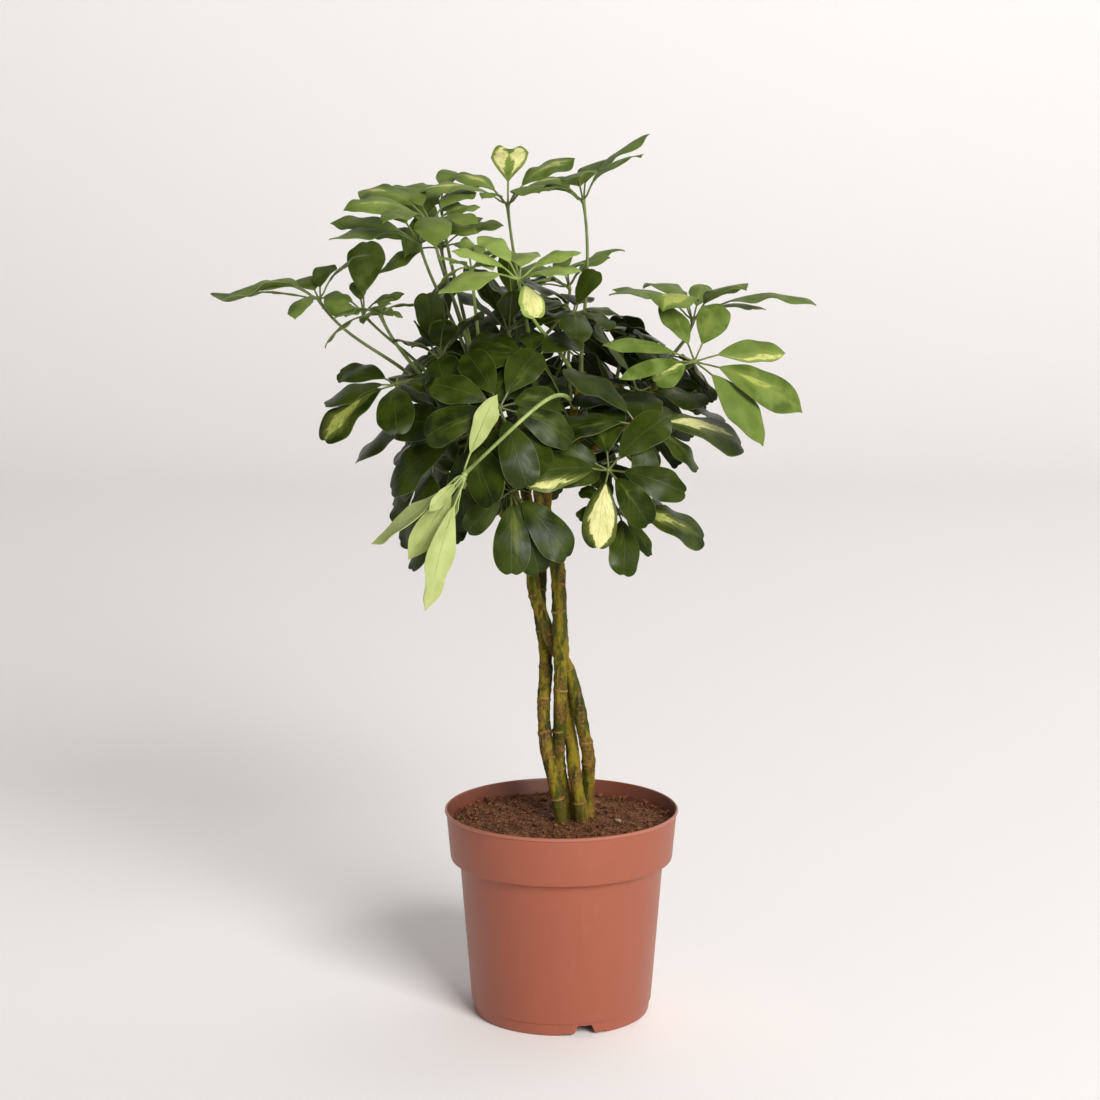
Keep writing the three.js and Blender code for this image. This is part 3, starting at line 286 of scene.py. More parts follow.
# Outlines of a leaflet from its stalk to its tip: how far along each row of the blade stands and its half
# width, where 1 is the widest, and how far the row's middle is drawn back from its edges' line.
OUTLINES = {
    "notched": [
        (0, 0.05, 0), (0.04, 0.17, 0), (0.1, 0.32, 0), (0.19, 0.52, 0), (0.3, 0.72, 0), (0.42, 0.87, 0),
        (0.54, 0.97, 0), (0.66, 1, 0), (0.77, 0.97, 0), (0.86, 0.87, 0), (0.93, 0.7, 0), (0.975, 0.5, 0.006),
        (1, 0.27, 0.03),
    ],
    "pointed": [
        (0, 0.05, 0), (0.04, 0.18, 0), (0.1, 0.36, 0), (0.19, 0.6, 0), (0.3, 0.82, 0), (0.42, 0.96, 0),
        (0.54, 1, 0), (0.65, 0.99, 0), (0.75, 0.9, 0), (0.83, 0.73, 0), (0.89, 0.53, 0), (0.935, 0.33, 0),
        (0.965, 0.17, 0), (0.99, 0.07, 0), (1.01, 0.015, 0),
    ],
    "heart": [
        (0, 0.05, 0), (0.04, 0.12, 0), (0.1, 0.22, 0), (0.2, 0.4, 0), (0.32, 0.6, 0), (0.45, 0.78, 0),
        (0.58, 0.92, 0), (0.7, 1, 0), (0.8, 1, 0.01), (0.88, 0.93, 0.03), (0.94, 0.82, 0.07),
        (0.98, 0.68, 0.12), (1, 0.52, 0.19),
    ],
}
BLADE_COLUMNS = 4
STALK_SIDES = 6

# Splashes on leaflets that show them: amount, place across from -1 to 1, place along from 0 to 1, creaminess,
# and 1 where they lie on both sides of a green middle
MARKS = {
    "leaf_top_heart": {0: (0.2, 0, 0.5, 0.3), 1: (0.36, 0.55, 0.6, 0.8, 1), 2: (0.2, 0, 0.4, 0.3),
                       3: (0.22, 0.2, 0.5, 0.4), 6: (0.2, 0, 0.4, 0.3)},
    "leaf_crest_front": {5: (0.16, 0, 0.5, 0.3), 6: (0.16, 0, 0.45, 0.3)},
    "leaf_fresh_front": {5: (0.6, 0.1, 0.5, 0.7)},
    "leaf_right_open": {0: (0.32, -0.75, 0.55, 0.4), 5: (0.36, -0.5, 0.4, 0.6), 6: (-0.3, 0, 0.4, 0),
                        7: (0.16, 0, 0.35, 0)},
    "leaf_right_high": {4: (0.38, 0.1, 0.5, 0), 5: (0.2, 0, 0.45, 0)},
    "leaf_right_low": {7: (0.25, 0, 0.3, 0.1)},
    "leaf_front_right_hang": {4: (0.26, 0.85, 0.6, 0.5), 5: (0.54, 0.15, 0.5, 0.9)},
    "leaf_right_tier": {0: (0.32, 0.2, 0.4, 0.8)},
    "leaf_left_tier": {6: (0.3, 0, 0.6, 0)},
}

# Stage and view, in metres and degrees
FLOOR_WIDTH = 12
FLOOR_NEAR = -5
BEND_STEPS = 16
BACKDROP_HEIGHT = 5
CAMERA_PLACE = (-0.0103, -2.4, 0.84)
CAMERA_DIP = 9.86
LENS_MM = 90
SENSOR_MM = 36

# Where each light stands, what it faces, and the side of its square
KEY_LIGHT = ((2.43, -4.76, 3.22), (0, 0, 0.5), 2.7)
BACKDROP_LIGHT = ((1.5, 1.6, 3.2), (1.3, 2.9, 0), 2.6)


def swatch(name, description, default):
    """A colour that a user can change."""
    return FloatVectorProperty(
        name=name, description=description, default=default, subtype="COLOR", size=3, min=0, max=1
    )


def length(name, description, default, least=0):
    """A size that a user can change."""
    return FloatProperty(name=name, description=description, default=default, unit="LENGTH", min=least)


def amount(name, description, default):
    """A brightness, power or share that a user can change."""
    return FloatProperty(name=name, description=description, default=default, min=0)


class PotSettings(PropertyGroup):
    """What can be changed on the pot."""

    sides: IntProperty(name="Sides", description="Flat sides round the pot", default=128, min=24, max=256)
    edge: length("Edge", "Radius of the moulded edges", 0.0008)
    plastic: swatch("Plastic", "Colour of the moulded plastic", (0.305, 0.081, 0.042))
    # Painted highlight: the rim's rounded top edge is made paler where light catches it
    worn: swatch("Worn plastic", "Paler colour where the plastic is rubbed", (0.35, 0.115, 0.07))
    lip: swatch("Rim highlight", "Paler colour of the rounded lip", (0.44, 0.17, 0.115))
    # Painted shade inside the pot and under its raised floor, mixed with a soil stain on the inner wall
    soil_stain_and_shade: swatch("Soil stain and painted shade", "Darker colour inside and under the floor: painted shade, and a soil stain on the inner wall", (0.13, 0.033, 0.014))


class SoilSettings(PropertyGroup):
    """What can be changed on the soil."""

    crumbs: IntProperty(name="Crumbs", description="Loose crumbs on the soil", default=2600, min=0, max=6000)
    crumb_size: length("Crumb size", "Radius of a middling crumb", 0.0009)
    fibres: IntProperty(name="Fibres", description="Thin fibres on the soil", default=70, min=0, max=1000)
    dark: swatch("Damp soil", "Darkest colour of the soil", (0.03, 0.0095, 0.0035))
    light: swatch("Dry soil", "Lightest colour of the soil", (0.29, 0.12, 0.05))
    speck: swatch("Specks", "Pale mineral grains in the soil", (0.4, 0.27, 0.16))


class StemSettings(PropertyGroup):
    """What can be changed on the woody stems."""

    scar_gap: length("Scar gap", "Between two leaf scars", 0.03, 0.01)
    scar_height: length("Scar height", "How far a leaf scar stands out", 0.0005)
    green: swatch("Green bark", "Young green bark", (0.05, 0.062, 0.006))
    ochre: swatch("Yellow bark", "Yellowish bark", (0.215, 0.16, 0.012))
    brown: swatch("Brown bark", "Corky brown bark", (0.2, 0.095, 0.03))
    dark: swatch("Dark bark", "Stained bark", (0.02, 0.022, 0.004))
    scar: swatch("Scars", "Rim of a leaf scar", (0.36, 0.23, 0.1))


class BladeSettings(PropertyGroup):
    """What every leaflet shares."""

    thickness: length("Thickness", "Thickness of a blade", 0.0007, 0.0003)
    wave: amount("Wave", "How far a blade's edge waves, over its half width", 0.16)
    yellow: swatch("Yellow splash", "Yellow-green splashes on a blade", (0.33, 0.37, 0.08))
    cream: swatch("Cream splash", "Cream splashes on a blade", (0.72, 0.68, 0.33))


def leaf_settings(name, leaves, dark, light, under, margin, stalk):
    """A group of settings for the colours of leaves of one age."""
    return type(name, (PropertyGroup,), {
        "__doc__": "What can be changed on " + leaves + ".",
        "__annotations__": {
            "dark": swatch("Upper side", "Upper side in shade", dark),
            "light": swatch("Lighter upper side", "Upper side where it is lightest", light),
            "under": swatch("Underside", "Underside", under),
            "margin": swatch("Margin", "Thin edge of the blade", margin),
            "stalk": swatch("Stalk", "Petiole and leaflet stalks", stalk),
        },
    })


OldLeafSettings = leaf_settings(
    "OldLeafSettings", "the old leaves",
    (0.007, 0.0155, 0.001), (0.034, 0.05, 0.004), (0.13, 0.155, 0.032), (0.2, 0.24, 0.09),
    (0.12, 0.15, 0.035),
)
YoungLeafSettings = leaf_settings(
    "YoungLeafSettings", "the young leaves",
    (0.056, 0.09, 0.009), (0.135, 0.19, 0.04), (0.138, 0.152, 0.02), (0.16, 0.2, 0.07), (0.14, 0.18, 0.045),
)
FreshLeafSettings = leaf_settings(
    "FreshLeafSettings", "the new leaves",
    (0.15, 0.215, 0.04), (0.24, 0.32, 0.075), (0.24, 0.33, 0.09), (0.3, 0.4, 0.12), (0.22, 0.3, 0.07),
)
HangingLeafSettings = leaf_settings(
    "HangingLeafSettings", "the pale hanging leaf",
    (0.28, 0.33, 0.1), (0.4, 0.45, 0.18), (0.37, 0.42, 0.17), (0.36, 0.45, 0.18), (0.34, 0.43, 0.13),
)


class StageSettings(PropertyGroup):
    """What can be changed on the floor, the lights and the camera."""

    floor: swatch("Floor", "Colour of the floor and the sweep behind it", (0.93, 0.91, 0.9))
    floor_depth: length("Floor depth", "From the pot to where the floor bends up", 3.2)
    bend: length("Bend", "Radius of the sweep's bend", 1.6, 0.2)
    key: amount("Key light", "Power of the light at the right", 425)
    back: amount("Backdrop light", "Power of the light behind", 30)
    fill: amount("Fill light", "Brightness of the room's walls", 0.88)
    ceiling: amount("Ceiling", "Brightness of the ceiling", 0.12)


class PlantSettings(PropertyGroup):
    """Everything that can be changed, by piece."""

    pot: PointerProperty(type=PotSettings)
    soil: PointerProperty(type=SoilSettings)
    stem: PointerProperty(type=StemSettings)
    blade: PointerProperty(type=BladeSettings)
    old: PointerProperty(type=OldLeafSettings)
    young: PointerProperty(type=YoungLeafSettings)
    fresh: PointerProperty(type=FreshLeafSettings)
    hanging: PointerProperty(type=HangingLeafSettings)
    stage: PointerProperty(type=StageSettings)


# Making meshes

def pick(obj):
    """Selects obj alone and makes it the active one."""
    bpy.ops.object.select_all(action="DESELECT")
    obj.select_set(True)
    bpy.context.view_layer.objects.active = obj


def add(operator, location=(0, 0, 0), **values):
    """The new object that an operator makes while nothing else is selected."""
    bpy.ops.object.select_all(action="DESELECT")
    operator(location=location, **values)
    return bpy.context.object


def copy_of(obj, name):
    """A copy of the object, with a mesh of its own."""
    copy = bpy.data.objects.new(name, obj.data.copy())
    bpy.context.collection.objects.link(copy)
    return copy


def name_piece(obj, name, *materials):
    """Names a piece and its mesh, and gives it these materials."""
    obj.name = obj.data.name = name
    obj.data.materials.clear()
    for material in materials:
        obj.data.materials.append(material)


def place_piece(obj, node):
    """Turns the piece's place into its mesh, and lets it stand for its solid."""
    pick(obj)
    bpy.ops.object.transform_apply(location=True, rotation=True, scale=True)
    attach(obj, "root")
    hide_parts(node)


def apply_modifier(obj, kind, **values):
    """Adds a modifier with these values and applies it."""
    pick(obj)
    modifier = obj.modifiers.new(kind.title(), kind)
    for key, value in values.items():
        setattr(modifier, key, value)
    bpy.ops.object.modifier_apply(modifier=modifier.name)


def join_pieces(pieces):
    """Joins the pieces into the first one."""
    pick(pieces[0])
    for piece in pieces[1:]:
        piece.select_set(True)
    bpy.ops.object.join()
    return bpy.context.object


def smooth(obj, degrees):
    """Smooth shading, with edges sharper than this left crisp."""
    pick(obj)
    bpy.ops.object.shade_smooth_by_angle(angle=math.radians(degrees))


@contextmanager
def editing():
    """Edit mode, with everything selected, for as long as it is needed."""
    bpy.ops.object.mode_set(mode="EDIT")
    bpy.ops.mesh.select_all(action="SELECT")
    yield
    bpy.ops.object.mode_set(mode="OBJECT")


def face(inside):
    """Turns every face inwards or outwards, in edit mode."""
    bpy.ops.mesh.select_all(action="SELECT")
    bpy.ops.mesh.normals_make_consistent(inside=inside)


def points_of(obj):
    """The mesh's corners as an array."""
    flat = np.empty(len(obj.data.vertices) * 3, dtype=np.float32)
    obj.data.vertices.foreach_get("co", flat)
    return flat.reshape(-1, 3).astype(float)


def set_points(obj, points):
    """Moves the mesh's corners to these points."""
    obj.data.vertices.foreach_set("co", np.asarray(points, dtype=np.float32).ravel())
    obj.data.update()


def set_values(obj, **values):
    """Keeps numbers for each corner of the mesh, for its material to read."""
    count = len(obj.data.vertices)
    for name, value in values.items():
        attribute = obj.data.attributes.get(name) or obj.data.attributes.new(name, "FLOAT", "POINT")
        attribute.data.foreach_set("value", np.broadcast_to(value, (count,)).astype(np.float32).copy())


def turned_wall(profile, sides):
    """A closed wall turned round the Z axis: a disc by the axis, drawn out along (radius, height) pairs to
    another disc by the axis."""
    radius, height = profile[0]
    wall = add(
        bpy.ops.mesh.primitive_circle_add, (0, 0, height), vertices=sides, radius=radius, fill_type="NGON"
    )
    with editing():
        for next_radius, next_height in profile[1:]:
            rise = (0, 0, next_height - height)
            bpy.ops.mesh.extrude_region_move(TRANSFORM_OT_translate={"value": rise})
            share = next_radius / radius
            bpy.ops.transform.resize(value=(share, share, 1), center_override=(0, 0, next_height))
            radius, height = next_radius, next_height
        face(inside=False)
    return wall


def tubes(paths, sides):
    """One object with a closed tube along each path. A path is a list of (point, radius) in mm."""
    data = add(bpy.ops.curve.primitive_bezier_curve_add).data
    data.splines.clear()
    data.dimensions = "3D"
    data.bevel_depth = MM
    data.bevel_resolution = (sides - 4) // 2
    data.use_fill_caps = True
    for path in paths:
        spline = data.splines.new("POLY")
        spline.points.add(len(path) - 1)
        for knot, (point, radius) in zip(spline.points, path):
            knot.co = (*(c * MM for c in point), 1)
            knot.radius = radius
    bpy.ops.object.convert(target="MESH")
    tube = bpy.context.object
    pick(tube)
    with editing():
        bpy.ops.mesh.remove_doubles(threshold=0.01 * MM)
        face(inside=False)
    return tube


# Lines, directions and nearness

def line_point(line, share):
    """The point at this share of the knots of a smooth line through them."""
    knots = [Vector(knot) for knot in line]
    knots = [knots[0] * 2 - knots[1], *knots, knots[-1] * 2 - knots[-2]]
    place = share * (len(line) - 1)
    step = min(int(place), len(line) - 2)
    t = place - step
    a, b, c, d = knots[step:step + 4]
    start, end = (c - a) / 2, (d - b) / 2
    return (
        b * (2 * t**3 - 3 * t**2 + 1) + start * (t**3 - 2 * t**2 + t)
        + c * (3 * t**2 - 2 * t**3) + end * (t**3 - t**2)
    )


def even_line(line, gap):
    """Points about gap apart along a smooth line through the knots, and how far along each one lies."""
    fine = [line_point(line, i / FINE_STEPS) for i in range(FINE_STEPS + 1)]
    lengths = np.concatenate([[0], np.cumsum([(b - a).length for a, b in zip(fine, fine[1:])])])
    count = max(4, round(lengths[-1] / gap))
    places = np.linspace(0, lengths[-1], count + 1)
    points = np.array(fine)
    even = np.stack([np.interp(places, lengths, points[:, axis]) for axis in range(3)], axis=1)
    return even, places


def smoothstep(low, high, value):
    """0 below low, 1 above high, and a smooth way between them."""
    t = np.clip((value - low) / (high - low), 0, 1)
    return t * t * (3 - 2 * t)


def unit(direction):
    """The direction with a length of 1."""
    return direction / np.linalg.norm(direction)


def nearness_of(points):
    """A tree that finds the nearest of the points."""
    tree = KDTree(len(points))
    for number, point in enumerate(points):
        tree.insert(point, number)
    tree.balance()
    return tree


# Finishes

def dimmed(colour, share):
    """The colour at this share of its brightness."""
    return tuple(share * c for c in colour)


def between(a, b, share):
    """A colour this share of the way from a to b."""
    return tuple((1 - share) * p + share * q for p, q in zip(a, b))


class Value:
    """What a node gives out, to reckon with as with a number."""

    def __init__(self, nodes, socket):
        self.nodes, self.socket = nodes, socket

    def __add__(self, other):
        return self.nodes.math("ADD", self, other)

    def __sub__(self, other):
        return self.nodes.math("SUBTRACT", self, other)

    def __mul__(self, other):
        return self.nodes.math("MULTIPLY", self, other)

    def __abs__(self):
        return self.nodes.math("ABSOLUTE", self)

    def beside(self, output):
        """Another of the same node's outputs."""
        return Value(self.nodes, self.socket.node.outputs[output])


class Nodes:
    """A tree of nodes, with short calls for what the finishes and the room share."""

    def __init__(self, tree):
        self.tree = tree

    def node(self, kind, inputs=None, output=0, **values):
        """What a new node of this kind gives out, from inputs that are values, numbers or colours."""
        node = self.tree.nodes.new("ShaderNode" + kind)
        for key, value in values.items():
            setattr(node, key, value)
        for key, value in (inputs or {}).items():
            self.feed(node.inputs[key], value)
        return Value(self, node.outputs[output])

    def feed(self, socket, value):
        """Links a socket, or sets it to a number or colour."""
        if isinstance(value, Value):
            self.tree.links.new(value.socket, socket)
        elif socket.type == "RGBA":
            socket.default_value = (*value, 1)
        else:
            socket.default_value = value

    def math(self, operation, a, b=0.0, clamp=False):
        """The sum, product or other result of two values."""
        return self.node("Math", {0: a, 1: b}, operation=operation, use_clamp=clamp)


class Finish(Nodes):
    """A material's nodes."""

    def __init__(self, name):
        self.material = bpy.data.materials.new(name)
        self.material.use_nodes = True
        super().__init__(self.material.node_tree)
        self.shader = self.tree.nodes["Principled BSDF"]

    def mix(self, share, a, b):
        """Colour a, with colour b in it by this share."""
        return self.node("Mix", {0: share, 6: a, 7: b}, 2, data_type="RGBA")

    def layers(self, colour, *coats):
        """The colour under coats of others, each of them a share and a colour."""
        for share, coat in coats:
            colour = self.mix(share, colour, coat)
        return colour

    def step(self, value, low, high, to_low=0.0, to_high=1.0):
        """A smooth way from to_low to to_high as value goes from low to high."""
        inputs = dict(enumerate((value, low, high, to_low, to_high)))
        return self.node("MapRange", inputs, interpolation_type="SMOOTHSTEP")

    def noise(self, vector, scale, detail=2.0, roughness=0.5, distortion=0.0):
        """A cloudy value from 0 to 1."""
        inputs = {
            "Vector": vector, "Scale": scale, "Detail": detail, "Roughness": roughness,
            "Distortion": distortion,
        }
        return self.node("TexNoise", inputs)

    def cells(self, vector, scale):
        """How far a place lies from the middle of its cell."""
        return self.node("TexVoronoi", {"Vector": vector, "Scale": scale}, "Distance")

    def place(self):
        """Where a point lies on the object, in metres."""
        return self.node("TexCoord", output="Object")

    def stretched(self, vector, scale):
        """The vector with each of its directions scaled."""
        return self.node("VectorMath", {0: vector, 1: scale}, operation="MULTIPLY")

    def value(self, name):
        """A number that the mesh keeps for each corner."""
        return self.node("Attribute", output="Fac", attribute_name=name)

    def bump(self, height, strength, distance):
        """Raises the surface by this height."""
        inputs = {"Height": height, "Strength": strength, "Distance": distance}
        self.feed(self.shader.inputs["Normal"], self.node("Bump", inputs))

    def done(self, colour, roughness, specular=0.5):
        """Gives the shader its colour and gloss, and returns the material."""
        self.feed(self.shader.inputs["Base Color"], colour)
        self.feed(self.shader.inputs["Roughness"], roughness)
        self.shader.inputs["Specular IOR Level"].default_value = specular
        return self.material


def plastic_finish(settings):
    """Moulded terracotta-coloured plastic: cloudy colour, a fine grain and rubbed edges."""
    finish = Finish("terracotta plastic")
    place = finish.place()
    clouds = finish.noise(place, 18, 4, 0.6)
    rubbed = finish.step(finish.noise(finish.stretched(place, (60, 60, 14)), 3, 5, 0.65), 0.55, 0.75)
    dusty = finish.step(finish.node("SeparateXYZ", {0: place}, 2), 0.02, 0.0, 0.0, 0.3)
    colour = finish.layers(
        finish.mix(clouds, settings.plastic, dimmed(settings.plastic, 0.9)),
        (rubbed * 0.35, settings.worn),
        (dusty * clouds, settings.worn),
        # Painted highlight on the rim's top edge
        (finish.value("lip") * 0.45, settings.lip),
        # Painted shade: the inside and the underside darken, with a cloudy soil stain on the inner wall
        (finish.value("inside") * finish.step(clouds, 0.2, 0.8, 0.8, 1.0), settings.soil_stain_and_shade),
    )
    grain = finish.noise(place, 900, 3, 0.6)
    finish.bump(grain + clouds * 3, 0.16, 0.0004)
    return finish.done(colour, finish.step(rubbed + grain, 0.2, 1.6, 0.4, 0.56), 0.45)


def soil_finish(settings):
    """Crumbly soil: grains from damp dark brown to dry brown, and a few pale mineral ones."""
    finish = Finish("potting soil")
    place = finish.place()
    grain = finish.cells(place, 620)
    shade = finish.node("SeparateColor", {0: grain.beside("Color")})
    fine = finish.noise(place, 1500, 3, 0.7)
    blend = shade * 0.5 + fine * 0.6 + finish.noise(place, 55, 3, 0.6) * 0.35
    chosen = finish.step(finish.noise(place, 330, 1), 0.74, 0.77)
    speck = finish.step(finish.cells(place, 380), 0.3, 0.16) * chosen
    colour = finish.layers(
        finish.mix(finish.step(blend, 0.45, 1.0), settings.dark, settings.light),
        (finish.value("tone"), settings.light),
        # Painted shade in the cracks between grains
        (finish.step(grain, 0.45, 0.75) * 0.5, settings.dark),
        (finish.math("MAXIMUM", speck, finish.value("speck")), settings.speck),
    )
    finish.bump(fine * 0.7 - grain, 0.8, 0.0011)
    return finish.done(colour, finish.step(fine, 0.3, 0.7, 0.85, 0.98), 0.2)


def bark_finish(settings):
    """Bark in long patches of green, yellow and brown, with brown leaf scars and dark corky spots."""
    finish = Finish("schefflera bark")
    place = finish.place()
    long_patches = finish.stretched(place, (1, 1, 0.3))
    green = finish.step(finish.noise(long_patches, 62, 5, 0.68), 0.45, 0.55)
    corky = finish.step(finish.noise(finish.stretched(place, (1, 1, 0.5)), 46, 6, 0.7, 0.4), 0.5, 0.58)
    stain = finish.step(finish.noise(long_patches, 120, 5, 0.72), 0.52, 0.62)
    streaks = finish.noise(finish.stretched(place, (1, 1, 0.1)), 800, 3, 0.6)
    speckle = finish.step(finish.noise(place, 520, 4, 0.75), 0.42, 0.62)
    scar = finish.value("scar") - finish.noise(place, 300, 3, 0.7) * 0.5
    spots = finish.step(finish.cells(place, 260), 0.25, 0.1)
    colour = finish.layers(
        finish.mix(green, settings.ochre, settings.green),
        (corky * 0.8, finish.mix(speckle, settings.brown, settings.dark)),
        (stain * 0.85, settings.dark),
        (finish.step(streaks, 0.35, 0.8, 0.0, 0.4), settings.dark),
        (finish.step(scar, 0.0, 0.4, 0.0, 0.8), settings.brown),
        (finish.step(scar, 0.5, 0.68, 0.0, 0.6), settings.scar),
        (spots * 0.7, settings.brown),
        (finish.step(finish.value("along"), 0, 90, 0.45, 0.0), settings.brown),
    )
    rough = finish.noise(place, 600, 5, 0.7)
    finish.bump(streaks * 0.6 + (rough + spots), 0.65, 0.0008)
    return finish.done(colour, finish.step(rough, 0.3, 0.7, 0.55, 0.8), 0.1)


def stalk_finish(name, colour):
    """Smooth green stalk, duller in places."""
    finish = Finish(name)
    place = finish.place()
    cloud = finish.noise(place, 70, 3, 0.6)
    colour = finish.mix(finish.step(cloud, 0.35, 0.7), colour, dimmed(colour, 0.6))
    finish.bump(finish.noise(place, 900, 2), 0.2, 0.0002)
    return finish.done(colour, finish.step(cloud, 0.3, 0.7, 0.42, 0.55), 0.45)


class BladeFinish(Finish):
    """A blade's material, with what its patterns are drawn from: how far along, the signed and bare distance
    from the midrib, places that differ from leaflet to leaflet, and thin side veins, which leave the midrib
    at a slant and fade towards the margin."""

    def __init__(self, name):
        super().__init__(name)
        self.along = self.node("SeparateXYZ", {0: self.node("UVMap", uv_map="UVMap")})
        self.side = self.node("Math", {0: self.along.beside(1), 1: 2, 2: -1}, operation="MULTIPLY_ADD")
        self.apart = abs(self.side)
        slanted = self.along - self.apart * 0.32
        inputs = {0: slanted * 5, 1: self.side * 1.5, 2: self.value("draw") * 40}
        self.drift = self.node("CombineXYZ", inputs)
        line = self.step(abs(self.math("FRACT", slanted * 9) - 0.5), 0.1, 0.0)
        self.veins = line * self.step(self.apart, 0.95, 0.4)

    def lines(self, veins, midrib, share):
        """How strongly the side veins and the midrib show."""
        return self.math("MAXIMUM", self.veins * veins, midrib * share)


def blade_finish(name, look, blade, gloss):
    """Upper side of a blade: cloudy green, splashes, and a paler midrib and side veins."""
    finish = BladeFinish(name)
    place = finish.place()
    jag = finish.noise(finish.drift, 1.6, 3, 0.65)
    across = finish.side + finish.value("both_sides") * (finish.apart - finish.side)
    lean = abs(across - finish.value("splash_side"))
    middle = abs(finish.along - finish.value("splash_place"))
    field = finish.value("splash") + jag * 0.55 - (lean * 0.62 + middle * 0.75)
    cream = finish.value("cream")
    flecks = finish.step(finish.noise(finish.drift, 3.2, 5, 0.75), 0.52, 0.58)
    flecks = flecks * finish.step(cream, 0.3, 1.0, 0.7, 0.15)
    splash = finish.step(field, 0.3, 0.36) * finish.step(finish.apart + jag * 0.5, 1.12, 1.04)
    creamy = finish.mix(cream, blade.yellow, blade.cream)
    midrib = finish.step(finish.apart, 0.05, 0.01)
    colour = finish.layers(
        finish.mix(finish.step(finish.noise(place, 60, 2), 0.3, 0.7), look.dark, look.light),
        (finish.step(finish.value("tone"), 0.0, 1.0, 0.0, 0.55), look.light),
        (finish.step(field, 0.0, 0.4, 0.0, 0.8), between(look.light, blade.yellow, 0.3)),
        (
            finish.math("SUBTRACT", splash, flecks, clamp=True),
            finish.mix(finish.step(jag, 0.3, 0.75, 0.0, 0.4), creamy, blade.yellow),
        ),
        (finish.lines(0.07, midrib, 0.2), between(look.light, look.margin, 0.5)),
        (finish.step(finish.apart, 0.95, 1.0, 0.0, 0.32), look.margin),
    )
    pores = finish.noise(place, 1500, 2)
    finish.bump(pores * 0.25 - (finish.veins + midrib) * 0.4, 0.35, 0.0004)
    return finish.done(colour, finish.step(jag, 0.3, 0.7, gloss, gloss + 0.12), max(0.06, 0.44 - gloss))


def under_finish(name, look):
    """Underside of a blade: duller and paler, with raised veins."""
    finish = BladeFinish(name)
    cloud = finish.noise(finish.drift, 0.9, 3, 0.6)
    midrib = finish.step(finish.apart, 0.09, 0.03)
    colour = finish.layers(
        finish.mix(finish.step(cloud, 0.3, 0.7), look.under, dimmed(look.under, 0.66)),
        (finish.step(finish.value("tone"), 0.0, 1.0, 0.0, 0.4), look.under),
        (finish.lines(0.3, midrib, 0.6), look.margin),
    )
    finish.bump(finish.veins + midrib, 0.4, 0.0004)
    return finish.done(colour, finish.step(cloud, 0.3, 0.7, 0.5, 0.64), 0.4)


def margin_finish(name, look):
    """The blade's cut-thin edge, paler than its faces."""
    finish = Finish(name)
    cloud = finish.noise(finish.place(), 110, 3)
    colour = finish.mix(finish.step(cloud, 0.35, 0.65), look.margin, look.under)
    return finish.done(colour, finish.step(cloud, 0.3, 0.7, 0.4, 0.6), 0.4)


def paper_finish(settings):
    """Matt paper sweep with a barely cloudy tone."""
    finish = Finish("paper sweep")
    cloud = finish.noise(finish.place(), 1.3, 2)
    colour = finish.mix(cloud, settings.floor, dimmed(settings.floor, 0.985))
    return finish.done(colour, finish.step(cloud, 0.3, 0.7, 0.8, 0.9), 0.1)


# Pot

